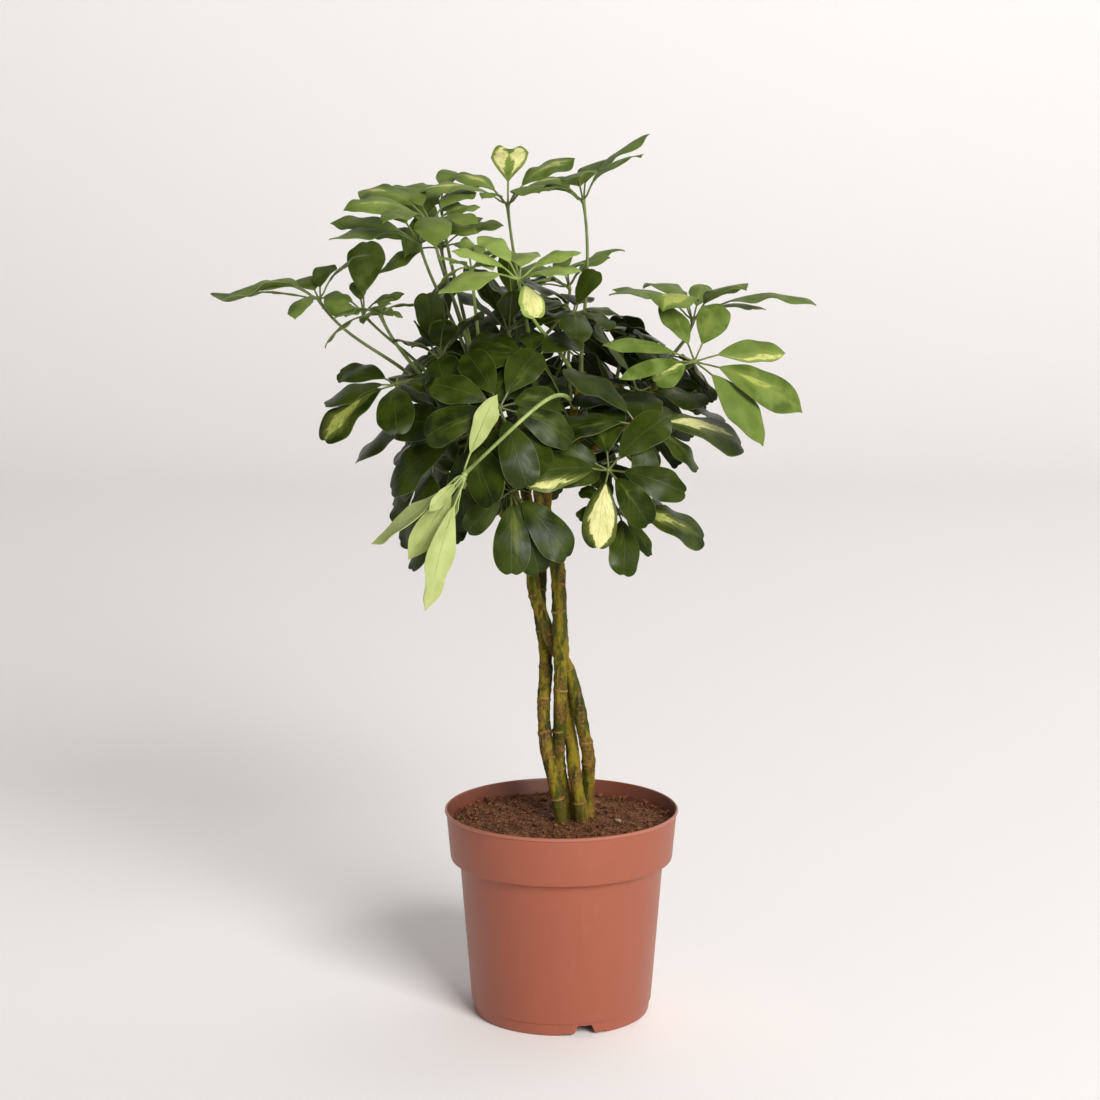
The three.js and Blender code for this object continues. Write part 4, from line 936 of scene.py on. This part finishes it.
def make_pot(settings):
    """Foot, body, ledge and collar outside, the thin wall inside, the raised floor, and the drain notches."""
    foot = BODY_BASE_RADIUS - 3 * MM
    profile = [
        (AXIS_GAP, 0),
        (FLOOR_HUB_RADIUS, 0),
        (FLOOR_HUB_RADIUS + 2 * MM, FLOOR_RISE),
        (foot - 6 * MM, FLOOR_RISE),
        (foot - 4 * MM, 0.4 * MM),
        (foot - 1.6 * MM, 0),
        (foot, 1 * MM),
        (foot + 0.9 * MM, 3 * MM),
        (BODY_BASE_RADIUS - 1.2 * MM, FOOT_HEIGHT - 0.6 * MM),
        (BODY_BASE_RADIUS, FOOT_HEIGHT),
        (BODY_TOP_RADIUS - 0.1 * MM, LEDGE_BASE - 3 * MM),
        (BODY_TOP_RADIUS + 0.6 * MM, LEDGE_BASE - 0.2 * MM),
        (COLLAR_BASE_RADIUS - 1.8 * MM, COLLAR_BASE - 0.3 * MM),
        (COLLAR_BASE_RADIUS - 0.4 * MM, COLLAR_BASE + 0.4 * MM),
        (COLLAR_BASE_RADIUS, COLLAR_BASE + 2 * MM),
        (RIM_RADIUS - 1.5 * MM, POT_HEIGHT - 4.4 * MM),
        (RIM_RADIUS - 1.5 * MM, POT_HEIGHT - 3.6 * MM),
        (RIM_RADIUS - 0.4 * MM, POT_HEIGHT - 3 * MM),
        (RIM_RADIUS, POT_HEIGHT - 2.2 * MM),
        (RIM_RADIUS - 0.1 * MM, POT_HEIGHT - 0.9 * MM),
        (RIM_RADIUS - 0.9 * MM, POT_HEIGHT),
        (RIM_RADIUS - 1.9 * MM, POT_HEIGHT - 0.4 * MM),
        (RIM_RADIUS - 2.4 * MM, POT_HEIGHT - 2 * MM),
        (COLLAR_BASE_RADIUS - POT_WALL, COLLAR_BASE + 3 * MM),
        (BODY_TOP_RADIUS - POT_WALL, LEDGE_BASE + 1 * MM),
        (BODY_BASE_RADIUS - POT_WALL - 0.2 * MM, FLOOR_TOP),
        (AXIS_GAP, FLOOR_TOP),
    ]
    pot = turned_wall(profile, settings.sides)
    for i in range(DRAIN_NOTCHES):
        turn = FIRST_NOTCH + 2 * math.pi * i / DRAIN_NOTCHES
        cut_notch(pot, turn, NOTCH_SLOT_WIDTH, NOTCH_SLOT_WIDTH, NOTCH_SLOT_HEIGHT)
        cut_notch(pot, turn, NOTCH_WIDTH, NOTCH_TOP_WIDTH, NOTCH_HEIGHT)
    apply_modifier(
        pot, "BEVEL", width=settings.edge / 2, segments=2, limit_method="ANGLE", angle_limit=math.radians(40)
    )
    points = points_of(pot)
    radius, height = np.hypot(points[:, 0], points[:, 1]), points[:, 2]
    wall = np.interp(
        height, [FOOT_HEIGHT, LEDGE_BASE, COLLAR_BASE, POT_HEIGHT],
        [BODY_BASE_RADIUS, BODY_TOP_RADIUS, COLLAR_BASE_RADIUS, RIM_RADIUS],
    )
    # Where painted shade goes: the inner wall below the rim, also soil-stained, and the underside beneath the
    # raised floor
    shaded_and_stained_wall = (radius < wall - 1.5 * MM) & (height > FLOOR_TOP)
    below = (height < FLOOR_TOP) & (radius < foot - 1.8 * MM)
    # The rim's top edge takes a painted highlight
    set_values(pot, inside=shaded_and_stained_wall | below, lip=height > POT_HEIGHT - 3.2 * MM)
    smooth(pot, 35)
    name_piece(pot, "pot_moulding", plastic_finish(settings))
    place_piece(pot, "pot")


def cut_notch(pot, turn, width, top_width, height):
    """Cuts a block, narrower at its top, out of the foot ring."""
    cutter = add(
        bpy.ops.mesh.primitive_cube_add,
        (NOTCH_MIDDLE * math.cos(turn), NOTCH_MIDDLE * math.sin(turn), (height - NOTCH_SUNK) / 2),
        size=1, rotation=(0, 0, turn + math.pi / 2), scale=(width, NOTCH_DEPTH, height + NOTCH_SUNK),
    )
    bpy.ops.object.transform_apply(location=False, rotation=False, scale=True)
    for vertex in cutter.data.vertices:
        if vertex.co.z > 0:
            vertex.co.x *= top_width / width
    apply_modifier(pot, "BOOLEAN", object=cutter, operation="DIFFERENCE", solver="EXACT")
    bpy.data.objects.remove(cutter)


# Soil

def make_soil(settings):
    """The filling down to the pot's floor, its lumpy top, and loose crumbs and fibres on it."""
    clearance = POT_WALL + 0.6 * MM
    floor = FLOOR_TOP + 0.5 * MM
    rise = (SOIL_LEVEL - COLLAR_BASE) / COLLAR_HEIGHT
    edge = COLLAR_BASE_RADIUS + (RIM_RADIUS - COLLAR_BASE_RADIUS) * rise - clearance
    profile = [
        (AXIS_GAP, floor),
        (BODY_BASE_RADIUS - clearance - 0.4 * MM, floor),
        (BODY_TOP_RADIUS - clearance, LEDGE_BASE + 1 * MM),
        (COLLAR_BASE_RADIUS - clearance, COLLAR_BASE + 4 * MM),
    ]
    for i in range(SOIL_RINGS):
        share = 1 - i / SOIL_RINGS
        profile.append((edge * share, soil_mound(share)))
    ground = turned_wall(profile, SOIL_SIDES)
    points = points_of(ground)
    upper = points[:, 2] > SOIL_LEVEL - 0.5 * MM
    points[upper, 2] += soil_lumps(points[upper, 0], points[upper, 1], edge)
    set_points(ground, points)
    set_values(ground, tone=0, speck=0)
    smooth(ground, 60)
    soil = join_pieces([ground, *soil_crumbs(settings, edge), soil_fibres(settings, edge)])
    name_piece(soil, "potting_soil", soil_finish(settings))
    place_piece(soil, "soil")


def soil_mound(share):
    """Height of the soil's mound at this share of the way from its middle to its edge."""
    return SOIL_LEVEL + SOIL_MOUND * (1 - share * share)


def soil_lumps(x, y, edge):
    """How far the soil's top stands above its mound at these places, in metres."""
    px, py = x / MM, y / MM
    low = np.sin(px * 0.31 + py * 0.17) + np.sin(py * 0.27 - px * 0.11 + 1.3)
    middle = np.sin(px * 0.83 + 2 * np.sin(py * 0.37)) * np.sin(py * 0.71 + 1.7 * np.sin(px * 0.29))
    fine = np.sin(px * 2.1 + 2.3 * np.sin(py * 0.9)) * np.sin(py * 1.9 + 2.1 * np.sin(px * 1.1))
    dip = -3.2 * np.exp(-((px - 8) ** 2 + (py + 1) ** 2) / 420)
    bank = 2.2 * smoothstep(0.8, 1.0, np.hypot(x, y) / edge)
    return (1.3 * low + 0.9 * middle + 0.55 * fine + dip + bank) * MM


def soil_top(x, y, edge):
    """Height of the soil's lumpy top at a place."""
    return soil_mound(min(math.hypot(x, y) / edge, 1)) + soil_lumps(x, y, edge)


def soil_crumbs(settings, edge):
    """Crumbs and a few pale grains, each a small uneven lump of its own."""
    random.seed(CRUMB_SEED)
    lump = add(bpy.ops.mesh.primitive_ico_sphere_add, subdivisions=1, radius=1)
    rest = points_of(lump)
    crumbs = []
    for i in range(settings.crumbs):
        distance = (edge - 1.5 * MM) * math.sqrt(random.random())
        turn = random.uniform(0, 2 * math.pi)
        x, y = distance * math.cos(turn), distance * math.sin(turn)
        size = settings.crumb_size * math.exp(random.gauss(0, 0.42))
        uneven = np.array([random.uniform(0.65, 1.25) for _ in rest])[:, None]
        stretch = np.array([random.uniform(0.7, 1.5), random.uniform(0.7, 1.5), random.uniform(0.6, 1.0)])
        crumb = copy_of(lump, "crumb")
        middle = np.array([x, y, soil_top(x, y, edge) + 0.35 * size])
        set_points(crumb, rest * uneven * stretch * size + middle)
        set_values(crumb, tone=random.uniform(0, 0.8) ** 2, speck=i % PALE_GRAIN_EVERY == FIRST_PALE_GRAIN)
        crumbs.append(crumb)
    bpy.data.objects.remove(lump)
    return crumbs


def soil_fibres(settings, edge):
    """Short thin fibres that lie about on the soil."""
    draw = random.Random(FIBRE_SEED)
    paths = []
    for _ in range(settings.fibres):
        distance, turn = edge * 0.92 * math.sqrt(draw.random()), draw.uniform(0, 2 * math.pi)
        x, y = distance * math.cos(turn), distance * math.sin(turn)
        heading, curl = draw.uniform(0, 2 * math.pi), draw.uniform(-0.5, 0.5)
        path = []
        for knot in range(FIBRE_KNOTS):
            z = soil_top(x, y, edge) + (0.5 + 0.5 * (knot % 2)) * MM
            path.append(((x / MM, y / MM, z / MM), 0.28 - 0.03 * knot))
            x, y = x + FIBRE_STEP * math.cos(heading), y + FIBRE_STEP * math.sin(heading)
            heading += curl
        paths.append(path)
    fibres = tubes(paths, FIBRE_SIDES)
    set_values(fibres, tone=1, speck=0.2)
    return fibres


# Stems

def scar_places(length, gap, seed):
    """How far along a stem its leaf scars stand, unevenly spaced."""
    draw = random.Random(seed)
    places = []
    place = gap * 0.4
    while place < length:
        places.append(place)
        place += gap * draw.uniform(0.55, 1.45)
    return np.array(places)


def stem_radius(places, scars, seed):
    """The stem's radius at each place, a little thicker round its leaf scars."""
    taper = np.clip((places / places[-1] - STEM_TAPER_START) / (1 - STEM_TAPER_START), 0, 1)
    swell = 1 + 0.03 * np.sin(places * 0.11 + seed) + 0.02 * np.sin(places * 0.37 + 2 * seed)
    above = places[:, None] - scars[None, :]
    collars = 0.25 * np.exp(-(((above + 1.5) / 3) ** 2)).sum(axis=1)
    return (STEM_RADIUS + (STEM_TIP_RADIUS - STEM_RADIUS) * taper) * swell + collars - 0.15


def make_stem(node, number, settings, bark):
    """One woody stem with its leaf scars, and its side shoots."""
    points, places = even_line(STEM_LINES[node], STEM_STEP)
    scars = scar_places(places[-1], settings.scar_gap / MM, number)
    paths = [list(zip(points, stem_radius(places, scars, number)))]
    known = [(points, places, scars)]
    for shoot_number, line in enumerate(SHOOT_LINES[node].values()):
        shoot_points, along = even_line(line, SHOOT_STEP)
        shoot_scars = scar_places(along[-1], SHOOT_SCAR_GAP, 10 * number + shoot_number)
        radii = SHOOT_RADIUS + (SHOOT_TIP_RADIUS - SHOOT_RADIUS) * (along / along[-1])
        paths.append(list(zip(shoot_points, radii)))
        known.append((shoot_points, along + places[-1], shoot_scars + places[-1]))
    stem = tubes(paths, STEM_SIDES)
    mark_stem(stem, known, settings.scar_height / MM)
    lumps = bpy.data.textures.new("bark lumps", "CLOUDS")
    lumps.noise_scale = BARK_LUMP_SIZE
    lumps.noise_depth = 3
    apply_modifier(stem, "DISPLACE", texture=lumps, texture_coords="LOCAL", strength=BARK_LUMP_HEIGHT)
    smooth(stem, 60)
    name_piece(stem, node + "_bark", bark)
    place_piece(stem, node)


def mark_stem(stem, known, scar_height):
    """Raises the leaf scars, each slanted its own way and most of the way round, and keeps for each corner
    how far along the stem it lies and how near a scar."""
    centres, places, scars = (np.concatenate(group) for group in zip(*known))
    tree = nearness_of(centres)
    points = points_of(stem) / MM
    nearest = [tree.find(point)[1] for point in points]
    away = points - centres[nearest]
    away /= np.linalg.norm(away, axis=1, keepdims=True) + 1e-9
    turns = 2.4 * np.arange(len(scars))
    facing = away[:, :2] @ np.stack([np.cos(turns), np.sin(turns)])
    off = places[nearest][:, None] + 1.3 * facing - scars[None, :]
    scar = (np.exp(-((off / 1.1) ** 2)) * smoothstep(-0.95, 0.1, facing)).max(axis=1)
    set_points(stem, (points + away * (scar_height * scar)[:, None]) * MM)
    set_values(stem, along=places[nearest], scar=scar)


# Leaves

def spread(leaf_number, leaflet_number, kind):
    """A number from -0.5 to 0.5 that differs evenly from leaf to leaf and from leaflet to leaflet."""
    value = 0.618034 * leaflet_number + 0.754878 * leaf_number + 0.569840 * kind
    return value - math.floor(value) - 0.5


def all_lines():
    """Every stem's and side shoot's line by name."""
    lines = dict(STEM_LINES)
    for shoots in SHOOT_LINES.values():
        lines.update(shoots)
    return lines


class Leaf:
    """A compound leaf: where it grows from, its hub, which way it faces, and its solid's corners."""

    def __init__(self, number, row):
        name, source, along, hub, (heading, height), turn, habit, leaflets, reach = row[:9]
        self.number, self.name, self.habit = number, name, habit
        self.turn, self.leaflets, self.reach = turn, leaflets, reach
        self.special = row[9] if len(row) > 9 else {}
        heading, height = math.radians(heading), math.radians(height)
        self.up = np.array([
            math.cos(heading) * math.cos(height), math.sin(heading) * math.cos(height), math.sin(height),
        ])
        self.across = np.array([-math.sin(heading), math.cos(heading), 0])
        self.away = np.cross(self.up, self.across)
        self.hub = np.array(hub, dtype=float)
        self.root = np.array(line_point(all_lines()[source], along))
        self.tree = nearness_of(points_of(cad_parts[name]) / MM)

    def has_corner(self, point):
        """True if the leaf's solid has a corner at this point."""
        return self.tree.find(point)[2] < FIT_TOLERANCE

    def petiole(self, bow, t):
        """The point at this share of the petiole's line, for a bow that is shifted sideways."""
        pull = np.linalg.norm(self.root - self.hub) * PETIOLE_PULL
        start = unit(unit(self.hub - self.root) + PETIOLE_LIFT)
        bend = self.across * bow[0] + self.away * bow[1] + ARCHES.get(self.name, (0, 0, 0))
        end = self.hub - self.up * (HUB_HEIGHT / 2 + 2)
        arrival = unit(unit(end - self.root) * (1 - PETIOLE_SWEEP) + self.up * PETIOLE_SWEEP)
        a, b, c, d = self.root, self.root + start * pull + bend, end - arrival * pull + bend, end
        return a * (1 - t) ** 3 + 3 * b * t * (1 - t) ** 2 + 3 * c * t**2 * (1 - t) + d * t**3

    def bow(self):
        """The bow that the petiole's solid has: its ring half way along is centred on the petiole's line."""
        radius = (PETIOLE_BASE_RADIUS + PETIOLE_TIP_RADIUS) / 2
        for bow in BOWS:
            near = self.tree.find_n(self.petiole(bow, 0.5), 4)
            if all(abs(found[2] - radius) < FIT_TOLERANCE for found in near):
                return bow
        raise RuntimeError(self.name + " has a petiole that no bow fits")

    def fitting_leaflets(self):
        """The leaflets that have a solid, each with the lift and size that it has there."""
        found = []
        for number in range(self.leaflets):
            tries = (Leaflet(self, number, lift, size) for size in SIZES for lift in LIFTS)
            found.append(next((one for one in tries if all(map(self.has_corner, one.solid_corners()))), None))
        found = [leaflet for leaflet in found if leaflet]
        if not found:
            raise RuntimeError(self.name + " has no leaflet that fits its solid")
        return found


class Leaflet:
    """One leaflet: its rib's arc and its blade's measures for a given lift and size."""

    def __init__(self, leaf, number, lift, size):
        turned, raised, scale, *own = leaf.special.get(number, (0, 0, 1))
        self.stalk, width, rise, droop, fold, self.outline = HABITS[own[0] if own else leaf.habit]
        turn, length, rising, drooping, twist, draw = (spread(leaf.number, number, i) for i in range(1, 7))
        angle = math.radians(leaf.turn + 360 * number / leaf.leaflets + turned + TURN_SPREAD * turn)
        self.number, self.up, self.hub = number, leaf.up, leaf.hub
        self.out = leaf.across * math.cos(angle) + leaf.away * math.sin(angle)
        self.right = np.cross(leaf.up, self.out)
        self.reach = leaf.reach * scale * size * (1 + REACH_SPREAD * length)
        self.rise = math.radians(rise + lift + raised + RISE_SPREAD * rising)
        self.droop = math.radians(droop + DROOP_SPREAD * drooping)
        self.twist = math.radians(TWIST_SPREAD * twist)
        self.half = width * self.reach * (1 - self.stalk)
        self.fold = math.radians(fold)
        self.draw = draw + 0.5

    def rib(self, share):
        """Points on the rib at these shares of the reach, and the directions that face up there."""
        share = np.atleast_1d(np.asarray(share, dtype=float))[:, None]
        slope = self.rise - self.droop * share
        radius = self.reach / self.droop
        points = self.hub + self.out * (HUB_RADIUS + radius * (math.sin(self.rise) - np.sin(slope)))
        points = points + self.up * radius * (np.cos(slope) - math.cos(self.rise))
        points[:, 2] -= BLADE_SAG * self.reach * share[:, 0] ** 2
        return points, self.up * np.cos(slope) - self.out * np.sin(slope)

    def blade(self, along, side, height):
        """Points of the blade at shares of its length and signed sideways distances, raised by a height, all
        in mm but along. The blade folds down from its rib and twists towards its tip."""
        points, face = self.rib(self.stalk + (1 - self.stalk) * along)
        roll = (self.twist * along)[:, None]
        sideways = self.right * np.cos(roll) + face * np.sin(roll)
        top = face * np.cos(roll) - self.right * np.sin(roll)
        drop = np.abs(side) * math.sin(self.fold)
        return points + sideways * (side * math.cos(self.fold))[:, None] + top * (height - drop)[:, None]

    def solid_corners(self):
        """Corners that the leaflet's solid has: both edges of its last section, and a pointed one's tip."""
        along, half = POINTED_SECTION if self.outline == "pointed" else NOTCHED_SECTION
        corners = self.blade(np.full(2, along), np.array([half, -half]) * self.half, np.zeros(2))
        return [*corners, *(self.rib(1)[0] if self.outline == "pointed" else ())]

    def waves(self, along, side, strength):
        """How far the surface stands off its plain fold, in mm: waved margins and a tip that curls."""
        phase = 2 * math.pi * self.draw
        edge = np.clip(np.abs(side) / self.half, 0, 1) ** 1.6
        beat = np.sin(2 * math.pi * 1.7 * along + phase + (side > 0) * 2.2)
        beat += 0.5 * np.sin(2 * math.pi * 3.1 * along + 2.3 * phase + (side > 0) * 1.1)
        rounding = 0.12 * self.half * (1 - np.exp(-np.abs(side) / (0.25 * self.half)))
        curl = self.half * 0.3 * math.sin(3 * phase) * smoothstep(0.8, 1.15, along)
        return strength * self.half * edge * beat * smoothstep(0.05, 0.4, along) + rounding + curl

    def faint_mark(self):
        """A splash that hardly shows: only a few leaflets have a trace of yellow by the midrib."""
        return (0.34 * ((self.draw * 5.7) % 1) - 0.26, 0.3 * math.sin(self.draw * 40), 0.35, 0.1)


def blade_pattern(outline):
    """A flat leaflet along +X, 1 long and 2 wide, drawn by placing and resizing the rows of a grid."""
    rows = np.array(OUTLINES[outline])
    last = len(rows) - 1
    pattern = add(
        bpy.ops.mesh.primitive_grid_add, x_subdivisions=last, y_subdivisions=BLADE_COLUMNS, size=2
    )
    points = points_of(pattern)
    along, half, back = rows[np.rint((points[:, 0] + 1) / 2 * last).astype(int)].T
    points[:, 0] = along - back * (1 - np.abs(points[:, 1])) ** 1.5
    points[:, 1] *= half
    set_points(pattern, points)
    return pattern


def make_blades(leaflets, patterns, settings, marks):
    """The leaf's blades in one object, with their thickness."""
    blades = []
    for leaflet in leaflets:
        blade = copy_of(patterns[leaflet.outline], "blade")
        flat = points_of(blade)
        along, side = flat[:, 0], flat[:, 1] * leaflet.half
        set_points(blade, leaflet.blade(along, side, leaflet.waves(along, side, settings.wave)) * MM)
        splash, across, place, cream, *both = marks.get(leaflet.number, leaflet.faint_mark())
        set_values(
            blade, draw=leaflet.draw, tone=(leaflet.draw * 7.3) % 1, splash=splash, splash_side=across,
            splash_place=place, both_sides=sum(both), cream=cream,
        )
        blades.append(blade)
    joined = join_pieces(blades)
    apply_modifier(joined, "SUBSURF", levels=1, render_levels=1)
    apply_modifier(
        joined, "SOLIDIFY", thickness=settings.thickness, offset=0, material_offset=1, material_offset_rim=2
    )
    return joined


def make_stalks(leaf, leaflets):
    """The petiole with its sheath and hub, and each leaflet's stalk, which runs on as the blade's rib."""
    bow = leaf.bow()
    shares = np.linspace(0, 1, 18)
    radii = PETIOLE_BASE_RADIUS + (PETIOLE_TIP_RADIUS - PETIOLE_BASE_RADIUS) * shares
    radii = radii + 0.9 * np.exp(-((shares / 0.05) ** 2)) + 0.5 * np.exp(-(((1 - shares) / 0.04) ** 2))
    petiole = [(leaf.petiole(bow, share), radius) for share, radius in zip(shares, radii)]
    petiole += [(leaf.hub + leaf.up * height, radius) for height, radius in HUB_RINGS]
    paths = [petiole]
    along, middle = np.linspace(0.06, 0.9, 9), np.zeros(9)
    for leaflet in leaflets:
        path = [(leaf.hub, 1.1)]
        path += [(point, 0.85) for point in leaflet.rib(np.linspace(0, leaflet.stalk, 5)[1:])[0]]
        below = leaflet.waves(along, middle, 0) - 0.25 - 0.35 * (1 - along)
        path += zip(leaflet.blade(along, middle, below), 0.78 - 0.6 * along)
        paths.append(path)
    return tubes(paths, STALK_SIDES)


def make_leaf(leaf, patterns, settings, materials):
    """One compound leaf as a single piece."""
    leaflets = leaf.fitting_leaflets()
    blades = make_blades(leaflets, patterns, settings, MARKS.get(leaf.name, {}))
    stalks = make_stalks(leaf, leaflets)
    for part in (blades, stalks):
        name_piece(part, leaf.name + "_dressed", *materials)
    stalk_slot = np.full(len(stalks.data.polygons), len(materials) - 1, dtype=np.int32)
    stalks.data.polygons.foreach_set("material_index", stalk_slot)
    piece = join_pieces([blades, stalks])
    smooth(piece, 45)
    place_piece(piece, leaf.name)


def make_leaves(settings, age, habits, gloss):
    """All the compound leaves of these habits, with the finishes for their age."""
    look = getattr(settings, age)
    materials = [
        blade_finish(age + " blade", look, settings.blade, gloss),
        under_finish(age + " underside", look),
        margin_finish(age + " margin", look),
        stalk_finish(age + " stalk", look.stalk),
    ]
    patterns = {outline: blade_pattern(outline) for outline in OUTLINES}
    for number, row in enumerate(LEAVES):
        if row[6] in habits:
            make_leaf(Leaf(number, row), patterns, settings.blade, materials)
    for pattern in patterns.values():
        bpy.data.objects.remove(pattern)


# Stage

def make_stage(settings):
    """Floor and sweep, the lights, and the camera at the photograph's view."""
    floor = add(bpy.ops.mesh.primitive_plane_add, size=1)
    far, bend = settings.floor_depth, settings.bend
    with editing():
        bpy.ops.transform.resize(value=(FLOOR_WIDTH, far - FLOOR_NEAR, 1))
        bpy.ops.transform.translate(value=(0, (far + FLOOR_NEAR) / 2, 0))
    floor.data.polygons[0].select = False
    for vertex in floor.data.vertices:
        vertex.select = vertex.co.y > far - 10 * MM
    for edge in floor.data.edges:
        edge.select = all(floor.data.vertices[i].select for i in edge.vertices)
    bpy.ops.object.mode_set(mode="EDIT")
    bpy.ops.mesh.select_mode(type="EDGE")
    for i in range(BEND_STEPS):
        a, b = math.pi / 2 * i / BEND_STEPS, math.pi / 2 * (i + 1) / BEND_STEPS
        shift = (0, bend * (math.sin(b) - math.sin(a)), bend * (math.cos(a) - math.cos(b)))
        bpy.ops.mesh.extrude_edges_move(TRANSFORM_OT_translate={"value": shift})
    bpy.ops.mesh.extrude_edges_move(TRANSFORM_OT_translate={"value": (0, 0, BACKDROP_HEIGHT)})
    face(inside=True)
    bpy.ops.object.mode_set(mode="OBJECT")
    smooth(floor, 60)
    name_piece(floor, "floor", paper_finish(settings))
    add_light("key light", settings.key, *KEY_LIGHT)
    add_light("backdrop light", settings.back, *BACKDROP_LIGHT)
    light_room(settings)
    bpy.context.scene.view_settings.view_transform = "Standard"
    camera = add(bpy.ops.object.camera_add, CAMERA_PLACE, rotation=(math.radians(90 - CAMERA_DIP), 0, 0))
    camera.name = "photograph view"
    camera.data.lens = LENS_MM
    camera.data.sensor_width = SENSOR_MM
    camera.data.sensor_fit = "HORIZONTAL"
    camera.data.clip_end = 100
    bpy.context.scene.camera = camera


def light_room(settings):
    """Light from all round: bright walls, more so at the right, under a darker ceiling."""
    world = bpy.data.worlds.new("studio")
    bpy.context.scene.world = world
    world.use_nodes = True
    nodes = Nodes(world.node_tree)
    across = nodes.node("SeparateXYZ", {0: nodes.node("TexCoord", output="Generated")})
    walls = {0: across.beside(2), 1: 0.1, 2: 0.6, 3: settings.fill, 4: settings.ceiling}
    strength = nodes.node("MapRange", walls) * nodes.node("MapRange", {0: across, 1: -1, 3: 0.6, 4: 1.4})
    background = world.node_tree.nodes["Background"]
    nodes.feed(background.inputs["Strength"], strength)
    nodes.feed(background.inputs["Color"], (1, 0.99, 0.98))


def add_light(name, power, place, target, size):
    """A square soft light that faces the target."""
    light = add(bpy.ops.object.light_add, place, type="AREA")
    light.name = name
    light.data.energy = power
    light.data.size = size
    light.data.color = (1, 0.98, 0.955)
    light.rotation_euler = (Vector(target) - Vector(place)).to_track_quat("-Z", "Y").to_euler()


# Operators

class PLANT_OT_pot(Operator):
    """Make the pot"""

    bl_idname = "plant.pot"
    bl_label = "Pot"

    def execute(self, context):
        make_pot(context.scene.umbrella_plant.pot)
        return {"FINISHED"}


class PLANT_OT_soil(Operator):
    """Make the soil with its crumbs"""

    bl_idname = "plant.soil"
    bl_label = "Soil"

    def execute(self, context):
        make_soil(context.scene.umbrella_plant.soil)
        return {"FINISHED"}


class PLANT_OT_stems(Operator):
    """Make the braided woody stems and their side shoots"""

    bl_idname = "plant.stems"
    bl_label = "Stems"

    def execute(self, context):
        settings = context.scene.umbrella_plant.stem
        bark = bark_finish(settings)
        for number, node in enumerate(STEM_LINES, start=1):
            make_stem(node, number, settings, bark)
        return {"FINISHED"}


class PLANT_OT_old_leaves(Operator):
    """Make the dark old leaves"""

    bl_idname = "plant.old_leaves"
    bl_label = "Old leaves"

    def execute(self, context):
        make_leaves(context.scene.umbrella_plant, "old", ("old", "flat", "upright"), 0.3)
        return {"FINISHED"}


class PLANT_OT_young_leaves(Operator):
    """Make the mid green young leaves"""

    bl_idname = "plant.young_leaves"
    bl_label = "Young leaves"

    def execute(self, context):
        make_leaves(context.scene.umbrella_plant, "young", ("young", "open"), 0.42)
        return {"FINISHED"}


class PLANT_OT_fresh_leaves(Operator):
    """Make the light green new leaves"""

    bl_idname = "plant.fresh_leaves"
    bl_label = "Fresh leaves"

    def execute(self, context):
        make_leaves(context.scene.umbrella_plant, "fresh", ("fresh",), 0.42)
        return {"FINISHED"}


class PLANT_OT_hanging_leaf(Operator):
    """Make the pale leaf that hangs in front"""

    bl_idname = "plant.hanging_leaf"
    bl_label = "Hanging leaf"

    def execute(self, context):
        make_leaves(context.scene.umbrella_plant, "hanging", ("hanging",), 0.5)
        return {"FINISHED"}


class PLANT_OT_stage(Operator):
    """Make the floor, the lights and the camera"""

    bl_idname = "plant.stage"
    bl_label = "Stage"

    def execute(self, context):
        make_stage(context.scene.umbrella_plant.stage)
        return {"FINISHED"}


OPERATORS = (
    PLANT_OT_stage, PLANT_OT_pot, PLANT_OT_soil, PLANT_OT_stems, PLANT_OT_old_leaves, PLANT_OT_young_leaves,
    PLANT_OT_fresh_leaves, PLANT_OT_hanging_leaf,
)


class PLANT_PT_panel(Panel):
    """Lists the pieces of the plant and what can be changed on them"""

    bl_label = "Umbrella plant"
    bl_space_type = "VIEW_3D"
    bl_region_type = "UI"
    bl_category = "Plant"

    def draw(self, context):
        settings = context.scene.umbrella_plant
        for operator in OPERATORS:
            self.layout.operator(operator.bl_idname)
        for part in PlantSettings.__annotations__:
            box = self.layout.box()
            box.label(text=part.capitalize())
            group = getattr(settings, part)
            for key in group.__annotations__:
                box.prop(group, key)


CLASSES = (
    PotSettings, SoilSettings, StemSettings, BladeSettings, OldLeafSettings, YoungLeafSettings,
    FreshLeafSettings, HangingLeafSettings, StageSettings, PlantSettings, *OPERATORS, PLANT_PT_panel,
)


def register():
    """Adds the classes and the scene's settings."""
    for item in CLASSES:
        bpy.utils.register_class(item)
    bpy.types.Scene.umbrella_plant = PointerProperty(type=PlantSettings)


def unregister():
    """Takes the classes and the scene's settings away."""
    del bpy.types.Scene.umbrella_plant
    for item in reversed(CLASSES):
        bpy.utils.unregister_class(item)


def main():
    """Makes every piece in turn, and notes the sizes of the solids and of the dressed plant."""
    register()
    bpy.ops.plant.stage()
    bpy.ops.plant.pot()
    bpy.ops.plant.soil()
    bpy.ops.plant.stems()
    bpy.ops.plant.old_leaves()
    bpy.ops.plant.young_leaves()
    bpy.ops.plant.fresh_leaves()
    bpy.ops.plant.hanging_leaf()


if __name__ == "__main__":
    main()
